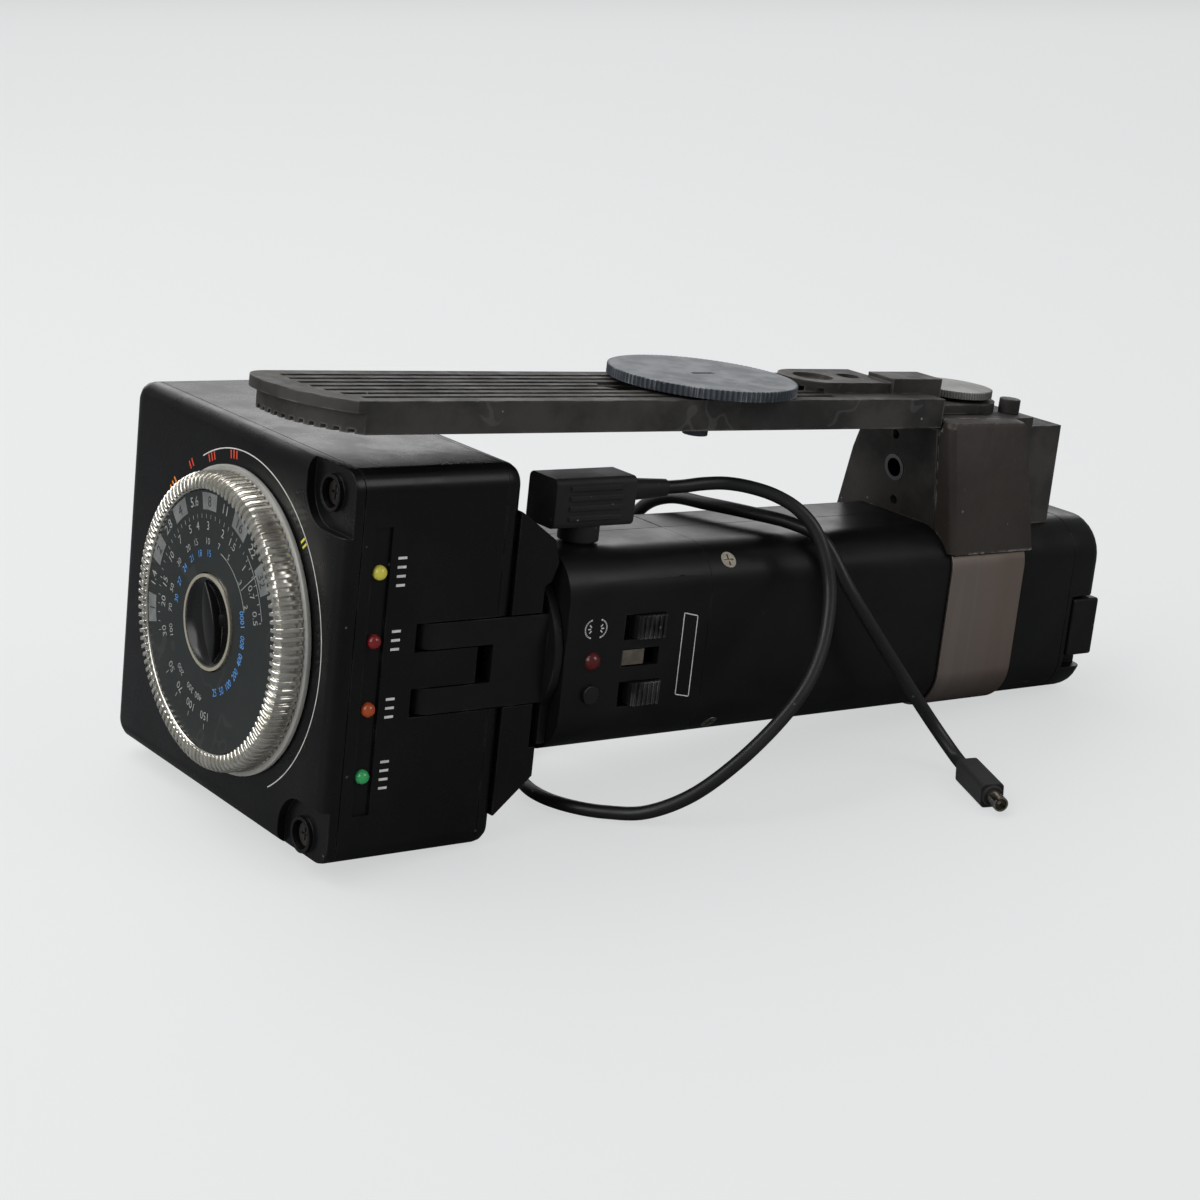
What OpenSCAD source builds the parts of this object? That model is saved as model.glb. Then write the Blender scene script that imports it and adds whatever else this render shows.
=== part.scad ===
// Handle mount flash: a lamp head on a battery handle, lying on its side, with its camera rail stowed
// along it.
// Drawn in a lying frame: x runs from the dial face to the handle's end, y from the control side
// to the lens side, and z up to the rail. lay() then tips it onto the two edges that it rests on.

/* [Head] */
// Width of the lamp head, across the handle
head_wide = 92; // [80:1:110]
// Depth of the lamp head, from the control side to the lens
head_deep = 103; // [92:1:120]
// Length of the head's side shell, up to the seam of its rear cover
shell_end = 42.4; // [40:0.2:50]
// Thickness of the rear cover behind that seam
rear_thick = 4.6; // [4:0.1:7]
// Thickness of the cover that carries the dial
dial_cover_thick = 4.5; // [3.5:0.1:6]
// Wall of the head's shells
wall = 2.2; // [1.6:0.1:3]
// Radius of the head's long edges
head_round = 5; // [3:0.5:8]
// Radius of the two edges that the flash lies on
edge_round = 3.5; // [2:0.1:4]
// Depth of the hump on the rear cover
hump_deep = 44; // [36:1:60]
// Thickness of the front lens
lens_thick = 5.6; // [4:0.1:8]
// Margin of black shell around the lens
lens_margin = 2.6; // [2.4:0.1:5]
// Wall of the lamp reflector
reflector_wall = 0.8; // [0.5:0.1:1.5]
// Radius of the flash tube
tube_r = 3.2; // [2:0.1:4.5]
// Radius of the indicator lamps
lamp_r = 1.7; // [1.2:0.1:2.2]
// Distance of the indicator lamps from the dial face
lamp_x = 9.9; // [8.5:0.1:12]
// Pitch of the indicator lamps
lamp_pitch = 15.9; // [10:0.1:18]
// Height of the lowest indicator lamp
lamp_low = 21.4; // [18:0.1:28]

/* [Calculator dial] */
// Distance of the dial's centre from the control side
dial_y = 46; // [44:0.5:55]
// Radius of the knurled ring
ring_r = 36.7; // [34:0.1:40]
// Height of the ring above the dial face
ring_high = 7.6; // [5:0.1:9]
// Radius of the printed scale disc
disc_r = 30.8; // [26:0.1:33]
// Radius of the film speed knob
knob_r = 11.4; // [9:0.1:14]
// Radius of the dial's spindle
spindle_r = 3; // [2:0.1:4]

/* [Tilt hinge] */
// Distance of the tilt pin from the dial face
pin_x = 26; // [22:0.5:30]
// Radius of the tilt pin
pin_r = 1.5; // [1:0.1:2]
// Width of each fork arm
arm_wide = 6.2; // [5:0.1:8]
// Gap between the fork arms
arm_gap = 9.2; // [7:0.1:12]
// Depth of the fork arms
arm_deep = 7; // [5:0.1:8]
// Length of the solid plate that joins the arms
plate_len = 15.2; // [12:0.1:18]

/* [Handle] */
// Distance from the dial face to the handle's first wall
grip_start = 59.8; // [59.8:0.1:66]
// Length of the control section
control_len = 42.2; // [38:0.2:55]
// Length of the battery section
battery_len = 126; // [116:1:150]
// Length of the end cap
cap_len = 11; // [8:0.5:16]
// Width of the handle
grip_wide = 49; // [49:0.5:56]
// Depth of the handle
grip_deep = 44; // [44:0.5:50]
// Radius of the handle's long edges
grip_round = 11; // [9:0.5:12]
// How far the handle stands out past the head's control side
grip_proud = 4.3; // [4:0.1:6]
// Radius of the swivel post inside the neck collar
post_r = 12; // [9:0.1:14]
// Radius of the neck collar
collar_r = 21.4; // [19:0.1:21.4]

/* [Controls] */
// Distance of the ready lamp and test button from the handle's first wall
button_x = 8.2; // [6:0.1:10]
// Radius of the test button
button_r = 2.2; // [1.5:0.1:2.6]
// Radius of the ready lamp
ready_r = 2.3; // [1.5:0.1:2.6]
// Distance of the switch slots from the handle's first wall
slot_x = 16.8; // [15:0.1:20]
// Length of a switch slot
slot_len = 12; // [11:0.1:16]
// Width of a switch slot
slot_wide = 6.2; // [5:0.1:6.6]
// Travel of a switch
switch_travel = 3; // [2:0.1:4]

/* [Power] */
// Radius of one battery cell
cell_r = 7; // [6.5:0.05:7.1]
// Length of one battery cell
cell_len = 50; // [46:0.5:51]
// Radius of the storage capacitor
cap_r = 16.5; // [12:0.1:17.5]
// Free room between the capacitor and the battery basket
cap_room = 7; // [5:0.5:14]

/* [Band and foot] */
// Distance of the steel band from the end cap's seam
band_back = 19.8; // [17:0.2:22]
// Width of the steel band
band_wide = 26.5; // [24:0.1:32]
// Thickness of the steel band
band_thick = 0.8; // [0.5:0.05:1]
// Height of the foot above the handle
foot_high = 28.8; // [27:0.1:36]
// Length of the foot along the handle
foot_len = 46; // [42:0.5:52]
// Depth of the foot at its top
foot_deep = 27; // [26:0.5:30]
// Thread radius of the bracket screw and its holes
bracket_thread_r = 2.5; // [2.3:0.05:3]

/* [Rail] */
// Length of the rail's bar
rail_len = 186; // [150:1:200]
// Width of the rail
rail_wide = 34; // [30:0.5:38]
// Thickness of the rail
rail_thick = 7.5; // [6:0.1:9]
// Slope of the rail on the foot, in degrees
rail_slope = 1.1; // [0:0.1:1.5]
// Radius of the big camera screw wheel
wheel_r = 23.7; // [18:0.1:26]
// Thickness of the big wheel
wheel_thick = 2.5; // [2:0.1:4]
// Thread radius of the camera screw
camera_thread_r = 3.175; // [3.1:0.005:3.3]
// How far the camera screw stands out under the rail
stud_out = 4.6; // [3:0.1:6]
// Radius of the thumb wheel
thumb_r = 11.2; // [9:0.1:13]

/* [Sync lead] */
// Length of the plug block on the handle
plug_len = 23.4; // [18:0.2:26]
// Depth of the plug block
plug_deep = 11.5; // [9:0.1:14]
// Height of the plug block
plug_high = 12; // [9:0.1:14]
// Diameter of the lead
lead_dia = 3.4; // [2.6:0.1:3.6]

/* [Hidden] */

// Facets of turned shapes, and of the children of a hull
fine = 64;
soft = 32;
// Running clearance of shafts, gap between parts that move past each other, and fit of seated parts
run_gap = 0.06;
move_gap = 0.3;
seat_gap = 0.05;

// Head
head_back = shell_end + rear_thick;
head_mid = head_wide / 2;
seam_gap = 0.1;
hump_end = grip_start - 2.8;
lens_back = head_deep - lens_thick;
lens_rim = lens_margin + 1.6;
screw_r = 2;
screw_seat = dial_cover_thick - 0.8;
// Handle
grip_mid_y = grip_deep / 2 - grip_proud;
grip_mid_z = head_mid - 0.2;
grip_low = grip_mid_z - grip_wide / 2;
grip_top = grip_mid_z + grip_wide / 2;
grip_near = -grip_proud;
grip_far = grip_near + grip_deep;
control_end = grip_start + control_len;
battery_end = control_end + battery_len;
grip_end = battery_end + cap_len;
// Hinge
pin_y = arm_deep / 2 - 0.1;
arm_low = head_mid - 0.5 - arm_gap / 2 - arm_wide;
arm_high = arm_low + 2 * arm_wide + arm_gap;
collar_end = grip_start - move_gap;
collar_start = collar_end - 2.2;
plate_start = collar_start - plate_len;
// Band, foot and rail
band_end = battery_end - band_back;
band_start = band_end - band_wide;
foot_start = band_start - 6.1;
foot_end = foot_start + foot_len;
foot_top = grip_top + foot_high;
foot_near = 2;
foot_lip = 2.9;
foot_lean = 7.8;
cover_proud = 1.4;
cover_low = grip_top - 6;
rail_low = foot_top - 2.4;
rail_top = rail_low + rail_thick;
rail_end = foot_start + 1;
rail_start = rail_end - rail_len;
rail_near = grip_mid_y - rail_wide / 2 + 0.8;
rail_mid = rail_near + rail_wide / 2;
rail_far = rail_near + rail_wide;
lug_x = foot_start + 19.2;
lug_r = 12.1;
lug_low = foot_top + 0.15;
lug_thick = 2.4;
thumb_low = lug_low + lug_thick + 0.9;
wheel_x = rail_end - 67;
slot_near_end = rail_start + 91.4;
slot_half = camera_thread_r + 0.3;
shank_r = camera_thread_r - 0.3;
washer_thick = 0.6;
wheel_low = rail_top + washer_thick + 0.1;
insert_z = foot_top - 16.6;
locate_pitch = 9;
// Controls
ready_z = grip_mid_z - 0.8;
test_z = ready_z - 8.1;
switch_top_z = ready_z + 7.6;
switch_low_z = test_z - 0.9;
slot_start = grip_start + slot_x;
slot_end = slot_start + slot_len;
knob_len = slot_len - switch_travel - 0.6;
latch_high = 13;
latch_travel = 3;
// Power
basket_len = cell_len + 11;
basket_start = battery_end - basket_len;
cell_step = 2 * cell_r + 0.15;
inner_wide = grip_wide - 2 * wall;
inner_deep = grip_deep - 2 * wall;
inner_round = grip_round - wall;
cap_start = control_end + 5;
cap_body_len = battery_end - basket_len - 3 - cap_room - cap_start;
// Plug
plug_x = grip_start - 0.4;
plug_y = 5;
plug_z = grip_top + 4.6;
relief_len = 13;

// How the flash lies: the tilt that brings both resting edges to one level
lie_angle = atan(grip_low / (grip_end - head_back));
lift = (head_back - edge_round) * sin(lie_angle) + edge_round * (1 - cos(lie_angle));
low_x = (head_mid - ring_r) * sin(lie_angle) - ring_high * cos(lie_angle);
high_x = (grip_end - edge_round) * cos(lie_angle) + (grip_top - edge_round) * sin(lie_angle) + edge_round;
low_y = grip_near - cover_proud;
shift = [-(low_x + high_x) / 2, -(low_y + head_deep) / 2, lift];

module lay() translate(shift) rotate([0, lie_angle, 0]) children();

// Rods and boxes along the axes
module rod_x(x0, x1, y, z, r) translate([x0, y, z]) rotate([0, 90, 0])
    cylinder(h = x1 - x0, r = r, $fn = fine);
module rod_y(x, y0, y1, z, r) translate([x, y0, z]) rotate([-90, 0, 0])
    cylinder(h = y1 - y0, r = r, $fn = fine);
module rod_z(x, y, z0, z1, r) translate([x, y, z0]) cylinder(h = z1 - z0, r = r, $fn = fine);
module box(x0, x1, y0, y1, z0, z1) translate([x0, y0, z0]) cube([x1 - x0, y1 - y0, z1 - z0]);

// A bar along x whose four long edges are round
module bar(x0, x1, y0, y1, z0, z1, r, f = fine) {
    box(x0, x1, y0 + r, y1 - r, z0, z1);
    box(x0, x1, y0, y1, z0 + r, z1 - r);
    for (y = [y0 + r, y1 - r], z = [z0 + r, z1 - r])
        translate([x0, y, z]) rotate([0, 90, 0]) cylinder(h = x1 - x0, r = r, $fn = f);
}

// The same bar with the edges around its far end (side = 1) or near end (side = -1) rounded over
module soft_bar(x0, x1, y0, y1, z0, z1, r, e, side = 1) {
    slice = 0.1;
    flat_x = side > 0 ? x1 - e : x0 + e;
    hull() {
        bar(side > 0 ? x0 : flat_x, side > 0 ? flat_x : x1, y0, y1, z0, z1, r, soft);
        for (t = [22.5, 45, 67.5, 90]) {
            i = e * (1 - cos(t));
            x = flat_x + side * e * sin(t) - (side > 0 ? slice : 0);
            bar(x, x + slice, y0 + i, y1 - i, z0 + i, z1 - i, max(r - i, 0.5), soft);
        }
    }
}

// The handle's outline, grown by g
module grip(x0, x1, g = 0)
    bar(x0, x1, grip_near - g, grip_far + g, grip_low - g, grip_top + g, grip_round + g);

// The handle's hollow, shrunk by g
module grip_hollow(x0, x1, g = 0)
    bar(x0, x1, grip_near + wall + g, grip_far - wall - g, grip_low + wall + g, grip_top - wall - g,
        inner_round - g);

// A knurled disc's outline: n teeth of the given depth
function knurl(r, depth, n) =
    [for (i = [0:2 * n - 1]) (r - (i % 2) * depth) * [cos(i * 180 / n), sin(i * 180 / n)]];

// Everything below y or above y of the handle's mid seam
module front_half() intersection() {
    children();
    box(grip_start - 1, grip_end, grip_near - 2, grip_mid_y - seat_gap / 2, grip_low - 2, grip_top + 2);
}
module back_half() intersection() {
    children();
    box(grip_start - 1, grip_end, grip_mid_y + seat_gap / 2, grip_far + 2, grip_low - 2, grip_top + 2);
}

// Centres of the two corner screws, beside the control side
corner_points = [[10.5, 5], [9.5, head_wide - 6.5]];
well_r = 8.4;
well_deep = 2.2;
post_long = 9;

module dial_cover() lay() color("#1b1b1d") difference() {
    union() {
        difference() {
            soft_bar(0, dial_cover_thick, 0, head_deep, 0, head_wide, head_round, 3.2, -1);
            // Each well is open towards its corner
            for (p = corner_points) {
                outer = p[1] > head_mid ? [p[1], head_wide + 1] : [-1, p[1]];
                rod_x(-1, well_deep, p[0], p[1], well_r);
                box(-1, well_deep, -1, p[0], p[1] - well_r, p[1] + well_r);
                box(-1, well_deep, -1, p[0] + well_r, outer[0], outer[1]);
            }
        }
        // A raised ring around each screw, and its post behind
        for (p = corner_points) {
            rod_x(1, well_deep + 0.1, p[0], p[1], screw_r + 2.3);
            rod_x(dial_cover_thick - 0.1, dial_cover_thick + post_long, p[0], p[1], screw_r + 0.6);
        }
        rod_x(dial_cover_thick - 0.1, dial_cover_thick + 3, dial_y, head_mid, spindle_r + 3);
    }
    for (p = corner_points) {
        rod_x(-1, screw_seat, p[0], p[1], screw_r + 1.4);
        rod_x(-1, dial_cover_thick + post_long + 1, p[0], p[1], screw_r - 0.6);
    }
    rod_x(-1, dial_cover_thick + 4, dial_y, head_mid, spindle_r);
}

// The fork's pocket in the head: two arm grooves that run into one plate pocket
module fork_pocket(g) {
    for (z = [arm_low, arm_high - arm_wide])
        box(pin_x - arm_deep / 2 - g - 1.5, hump_end + 3, -1, arm_deep + g, z - g, z + arm_wide + g);
    box(plate_start - 4.2, hump_end + 3, -1, arm_deep + g, arm_low - g, arm_high + g);
}

module head_shell() lay() color("#1b1b1d") difference() {
    union() {
        difference() {
            bar(dial_cover_thick + seam_gap, shell_end, 0, head_deep, 0, head_wide, head_round);
            bar(dial_cover_thick - 1, shell_end + 1, wall, lens_back - wall, wall, head_wide - wall,
                head_round - wall);
            box(dial_cover_thick + wall, shell_end - wall, lens_back - wall - 1, lens_back + 1,
                lens_margin + wall, head_wide - lens_margin - wall);
            box(dial_cover_thick + 1.2, shell_end - 1.2, lens_back, head_deep + 1, lens_rim,
                head_wide - lens_rim);
        }
        // Walls around the fork's pocket
        difference() {
            box(pin_x - arm_deep / 2 - 4, shell_end, wall / 2, arm_deep + wall, arm_low - wall - 0.3,
                arm_high + wall + 0.3);
            box(pin_x - 10, pin_x - arm_deep / 2 - 3.9, 0, 1, 0, 1);
        }
    }
    fork_pocket(move_gap);
    rod_z(pin_x, pin_y, arm_low - wall - 1, arm_high + wall + 1, pin_r);
    // The shallow groove that holds the four indicator lamps
    box(lamp_x - 2.2, lamp_x + 2.4, -1, 0.7, lamp_low - lamp_pitch / 2 - 1.4, lamp_low + 3.65 * lamp_pitch);
    for (i = [0:3]) rod_y(lamp_x, -1, wall + 1, lamp_low + i * lamp_pitch, lamp_r);
}

// Outline of the hump, seen from the control side
hump_points = [[head_back - 0.5, head_mid + 35.3], [head_back + 1, head_mid + 34.4],
    [hump_end, head_mid + 28], [hump_end + 1.6, head_mid + 22.4], [hump_end, head_mid + 18],
    [hump_end - 1.8, head_mid + 17], [hump_end - 1.8, head_mid - 22.4], [hump_end, head_mid - 22.4],
    [hump_end, head_mid - 29.6], [head_back, head_mid - 38.4], [head_back - 0.5, head_mid - 38.4]];

module rear_cover() lay() color("#1c1c1e") difference() {
    union() {
        soft_bar(shell_end + seam_gap, head_back, 0, head_deep, 0, head_wide, head_round, edge_round);
        difference() {
            translate([0, hump_deep, 0]) rotate([90, 0, 0]) linear_extrude(hump_deep) polygon(hump_points);
            box(head_back, hump_end + 2, wall, hump_deep - wall, head_mid - 20, head_mid + 16);
        }
        box(shell_end - 3, shell_end + 1, wall + seat_gap, lens_back - wall - seat_gap, wall + 2.2, wall + 4);
        box(shell_end - 3, shell_end + 1, wall + seat_gap, lens_back - wall - seat_gap, head_wide - wall - 4,
            head_wide - wall - 2.2);
    }
    fork_pocket(move_gap);
    rod_x(shell_end - 4, head_back + 20, grip_mid_y, grip_mid_z, 8);
    // Room for the collar as it turns
    rod_x(collar_start - move_gap, collar_end + 3, grip_mid_y, grip_mid_z, collar_r + move_gap);
}

module front_lens() lay() color([0.85, 0.88, 0.9, 0.5]) difference() {
    box(dial_cover_thick + 1.2 + seat_gap, shell_end - 1.2 - seat_gap, lens_back + seat_gap, head_deep - 0.5,
        lens_rim + seat_gap, head_wide - lens_rim - seat_gap);
    // Fine vertical ribs on the inside of the lens
    for (i = [0:15])
        box(dial_cover_thick + 3, shell_end - 3, lens_back - 1, lens_back + 0.9, 7 + i * 4.9, 9.4 + i * 4.9);
}

// The reflector is a trough that opens towards the lens
reflector_x = (dial_cover_thick + shell_end) / 2;
reflector_half = shell_end / 2 - wall - 3.8;
reflector_deep = 26;
tube_y = lens_back - reflector_deep + 9;
function trough(g) = [for (i = [-6:6]) [reflector_x + i * (reflector_half + g) / 6,
    lens_back - reflector_deep - g + reflector_deep * pow(i / 6, 2) * 0.86]];
module reflector() lay() color("#d9dadb") {
    z0 = lens_margin + wall + 1.5;
    z1 = head_wide - lens_margin - wall - 1.5;
    difference() {
        translate([0, 0, z0]) linear_extrude(z1 - z0)
            polygon(concat(trough(reflector_wall), [for (s = [1, -1])
                [reflector_x + s * (reflector_half + reflector_wall), lens_back - seat_gap]]));
        translate([0, 0, z0 + reflector_wall]) linear_extrude(z1 - z0 - 2 * reflector_wall)
            polygon(concat(trough(0), [for (s = [1, -1]) [reflector_x + s * reflector_half, lens_back + 1]]));
        rod_z(reflector_x, tube_y, z0 - 1, z1 + 1, tube_r + 0.5);
    }
}

module flash_tube() lay() color([0.9, 0.93, 0.95, 0.5])
    rod_z(reflector_x, tube_y, lens_margin + wall + 1, head_wide - lens_margin - wall - 1, tube_r);

module tube_holders() lay() color("#8d8f92")
    for (z = [lens_margin + wall - 0.4, head_wide - lens_margin - wall - 1.1]) difference() {
        box(reflector_x - tube_r - 3, reflector_x + tube_r + 3, tube_y - tube_r - 3, tube_y + tube_r + 3,
            z, z + 1.5);
        rod_z(reflector_x, tube_y, z - 1, z + 3, tube_r + seat_gap);
    }

module trigger_coil() lay() color("#6a3a22")
    rod_z(33, arm_deep + wall + 5.5 + seat_gap, head_mid - 9, head_mid + 9, 5.5);

module corner_screws() lay() color("#2b2b2d") for (p = corner_points) difference() {
    head_top = screw_seat - 1.2;
    union() {
        rod_x(head_top, screw_seat - seat_gap, p[0], p[1], screw_r + 0.8);
        rod_x(head_top + 1, dial_cover_thick + post_long - 1, p[0], p[1], screw_r - 0.6 - seat_gap);
    }
    box(head_top - 1, head_top + 0.5, p[0] - 0.3, p[0] + 0.3, p[1] - 1.6, p[1] + 1.6);
    box(head_top - 1, head_top + 0.5, p[0] - 1.6, p[0] + 1.6, p[1] - 0.3, p[1] + 0.3);
}

module tilt_pin() lay() color("#9a9c9f")
    rod_z(pin_x, pin_y, arm_low - wall - 0.3, arm_high + wall + 0.3, pin_r);

module indicator(i) lay() intersection() {
    union() {
        rod_y(lamp_x, 0.4, wall + 1.5, lamp_low + i * lamp_pitch, lamp_r);
        translate([lamp_x, 0.4, lamp_low + i * lamp_pitch]) sphere(r = lamp_r, $fn = fine);
        rod_y(lamp_x, wall + seat_gap, wall + 1.5, lamp_low + i * lamp_pitch, lamp_r + 0.6);
    }
    box(0, 20, -5, 9, 0, head_wide);
}
module lamp_green() color("#2f8f4a") indicator(0);
module lamp_orange() color("#c8501e") indicator(1);
module lamp_red() color("#a3221f") indicator(2);
module lamp_yellow() color("#d6c022") indicator(3);

// The dial: a fixed spindle, a ring and scale disc that turn together, and a knob that turns alone
module dial_spindle() lay() color("#77797c") {
    rod_x(-ring_high + 2.4, dial_cover_thick + 3, dial_y, head_mid, spindle_r);
    rod_x(dial_cover_thick + 3, dial_cover_thick + 4.4, dial_y, head_mid, spindle_r + 2);
}
module dial_ring() lay() color([0.86, 0.85, 0.78, 0.8]) difference() {
    translate([-ring_high, dial_y, head_mid]) rotate([0, 90, 0])
        linear_extrude(ring_high - move_gap) polygon(knurl(ring_r, 0.9, 100));
    rod_x(-ring_high - 1, 1, dial_y, head_mid, disc_r + seat_gap);
}
module scale_disc() lay() color("#3a3d3d") difference() {
    rod_x(-ring_high + 0.9, -move_gap, dial_y, head_mid, disc_r);
    rod_x(-ring_high, 1, dial_y, head_mid, spindle_r + run_gap);
    rod_x(-ring_high, -3, dial_y, head_mid, knob_r + 0.3);
}
module film_knob() lay() color("#161617") difference() {
    union() {
        rod_x(-ring_high + 1.9, -3.3, dial_y, head_mid, knob_r - 0.8 - seat_gap);
        // A bowed finger blade across the knob
        intersection() {
            rod_x(-ring_high + 0.3, -3.3, dial_y, head_mid, knob_r - 0.8 - seat_gap);
            difference() {
                rod_x(-ring_high + 0.3, -3.3, dial_y + 13.5, head_mid + 5, 18);
                rod_x(-ring_high, -3, dial_y + 17.5, head_mid + 6.4, 19.4);
            }
        }
    }
    rod_x(-ring_high + 2.3, -3, dial_y, head_mid, spindle_r + run_gap);
}
module knob_trim() lay() color("#b9b39a") difference() {
    rod_x(-ring_high + 0.4, -3.3, dial_y, head_mid, knob_r);
    rod_x(-ring_high, -3, dial_y, head_mid, knob_r - 0.8);
}

// The fork that carries the head, with the collar and hollow post that turn on the handle
module neck_fork() lay() color("#232325") difference() {
    union() {
        for (z = [arm_low, arm_high - arm_wide]) {
            rod_z(pin_x, pin_y, z, z + arm_wide, arm_deep / 2);
            box(pin_x, collar_end, -0.1, arm_deep - 0.1, z, z + arm_wide);
        }
        box(plate_start, collar_end, -0.1, 3.2, arm_low, arm_high);
        box(collar_start, collar_end, -0.1, 3.2, arm_low - 10.4, arm_low + 1);
        rod_x(collar_start, collar_end, grip_mid_y, grip_mid_z, collar_r);
        rod_x(collar_start, grip_start + 8, grip_mid_y, grip_mid_z, post_r);
    }
    for (z = [arm_low, arm_high - arm_wide]) rod_z(pin_x, pin_y, z - 1, z + arm_wide + 1, pin_r + run_gap);
    rod_x(collar_start - 1, grip_start + 9, grip_mid_y, grip_mid_z, post_r - 4);
    rod_x(grip_start + 4.2, grip_start + 6.2, grip_mid_y, grip_mid_z, 0.1);
}
module swivel_ring() lay() color("#a8aaad") difference() {
    rod_x(grip_start + wall + move_gap, grip_start + wall + 2, grip_mid_y, grip_mid_z, post_r + 3);
    rod_x(grip_start, grip_start + 9, grip_mid_y, grip_mid_z, post_r);
}

// The two sections of the handle, each split at mid depth
module control_shell() difference() {
    union() {
        difference() {
            grip(grip_start, control_end - seam_gap);
            grip_hollow(grip_start + wall, control_end - wall);
        }
        for (p = [[button_x + 7, test_z - 6.6], [control_len - 9, grip_top - 8]])
            rod_y(grip_start + p[0], grip_near + 1, grip_mid_y - 4 - seat_gap, p[1], 2);
    }
    rod_x(grip_start - 1, grip_start + wall + 1, grip_mid_y, grip_mid_z, post_r + run_gap);
    rod_x(control_end - wall - 1, control_end + 1, grip_mid_y, grip_mid_z, 8);
    rod_y(grip_start + button_x, grip_near - 1, grip_near + wall + 1, ready_z, ready_r);
    rod_y(grip_start + button_x, grip_near - 1, grip_near + wall + 1, test_z, button_r + run_gap);
    for (z = [switch_top_z, switch_low_z])
        box(slot_start, slot_end, grip_near - 1, grip_near + wall + 1, z - slot_wide / 2, z + slot_wide / 2);
    box(slot_start, slot_end - 1, grip_near - 1, grip_near + wall + 1, ready_z - 2.2, ready_z + 2.2);
    rod_y(grip_start + 16, grip_far - wall - 1, grip_far + 1, grip_mid_z, 5);
    rod_z(plug_x + plug_len / 2, plug_y + plug_deep / 2, grip_top - wall - 1, grip_top + 1, 4);
}
module control_front() lay() color("#1d1d1f") front_half() control_shell();
module control_back() lay() color("#1d1d1f") back_half() control_shell();

// Places of the housing screws, on the round edges of the control side
screw_turn = 42;
module at_edge_screw(side) translate([control_end + 6.4, grip_near + grip_round,
    side > 0 ? grip_top - grip_round : grip_low + grip_round]) rotate([-side * screw_turn, 0, 0]) children();

module battery_shell() difference() {
    union() {
        difference() {
            grip(control_end, battery_end - seam_gap);
            grip_hollow(control_end + wall, battery_end + 1);
        }
        // Two ribs that hold the capacitor, and the stop of the battery basket
        for (x = [cap_start + 8, cap_start + cap_body_len - 10]) difference() {
            grip_hollow(x, x + 2, -0.2);
            rod_x(x - 1, x + 3, grip_mid_y, grip_mid_z, cap_r + seat_gap);
        }
        difference() {
            grip_hollow(basket_start - 3, basket_start - 1, -0.2);
            rod_x(basket_start - 4, basket_start + 1, grip_mid_y, grip_mid_z, 9);
        }
    }
    rod_x(control_end - 1, control_end + wall + 1, grip_mid_y, grip_mid_z, 8);
    for (side = [1, -1]) at_edge_screw(side) {
        rod_y(0, -grip_round - 1, -grip_round + 1.2, 0, 2.2);
        rod_y(0, -grip_round - 1, -grip_round + wall + 1, 0, 1.1);
    }
}
module battery_front() lay() color("#1a1a1c") front_half() battery_shell();
module battery_back() lay() color("#1a1a1c") back_half() battery_shell();

module housing_screws() lay() color("#b7a98a") for (side = [1, -1]) at_edge_screw(side) difference() {
    union() {
        rod_y(0, -grip_round + 0.1, -grip_round + 1.2 - seat_gap, 0, 2.2 - seat_gap);
        rod_y(0, -grip_round + 1.1, -grip_round + wall + 4, 0, 1.1 - seat_gap);
    }
    box(-1.5, 1.5, -grip_round - 1, -grip_round + 0.6, -0.25, 0.25);
    box(-0.25, 0.25, -grip_round - 1, -grip_round + 0.6, -1.5, 1.5);
}

module ready_lamp() lay() color("#7d1a17") {
    rod_y(grip_start + button_x, grip_near, grip_near + wall + 1.4, ready_z, ready_r - seat_gap);
    intersection() {
        translate([grip_start + button_x, grip_near + 0.6, ready_z])
            sphere(r = ready_r - seat_gap, $fn = fine);
        box(0, 99, grip_near - 3, grip_near + 0.6, 0, 99);
    }
    rod_y(grip_start + button_x, grip_near + wall + seat_gap, grip_near + wall + 1.4, ready_z, ready_r + 0.7);
}
module test_button() lay() color("#2a2a2c") {
    rod_y(grip_start + button_x, grip_near - 0.9, grip_near + wall + 1.2, test_z, button_r);
    rod_y(grip_start + button_x, grip_near + wall + move_gap, grip_near + wall + 1.2, test_z, button_r + 0.8);
}

// A sliding switch: a ribbed thumb piece, its web in the slot and its flange behind the wall
module slider(x, z, wide, proud) {
    hw = wide / 2 - move_gap;
    box(x, x + knob_len, grip_near - proud + 0.5, grip_near + wall + move_gap, z - hw, z + hw);
    for (i = [0:5]) box(x + 0.4 + i * (knob_len - 1.5) / 5, x + 1.1 + i * (knob_len - 1.5) / 5,
        grip_near - proud, grip_near, z - hw, z + hw);
    box(x + 1, x + knob_len - 1, grip_near + wall + move_gap, grip_near + wall + 1.3, z - hw - 0.8,
        z + hw + 0.8);
}
module power_switch() lay() color("#202022")
    slider(slot_start + switch_travel + move_gap, switch_top_z, slot_wide, 1.6);
module mode_switch() lay() color("#202022")
    slider(slot_start + switch_travel + move_gap, switch_low_z, slot_wide, 1.6);
module winder_switch() lay() color("#7a6c58") {
    z = ready_z;
    box(slot_start + move_gap, slot_start + move_gap + 6.5, grip_near + 0.3, grip_near + wall + move_gap,
        z - 1.9, z + 1.9);
    box(slot_start + 1, slot_start + 6, grip_near + wall + move_gap, grip_near + wall + 1.3, z - 2.8,
        z + 2.8);
}
module sensor_window() lay() color("#30343a") {
    rod_y(grip_start + 16, grip_far - wall - 1, grip_far + 0.4, grip_mid_z, 5 - seat_gap);
    rod_y(grip_start + 16, grip_far - wall - 1.2, grip_far - wall - seat_gap, grip_mid_z, 6);
}
module circuit_board() lay() color("#2c5a3a")
    box(grip_start + 11, control_end - 4, grip_mid_y - 4, grip_mid_y - 2.4, grip_low + 6, grip_top - 6);
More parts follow.
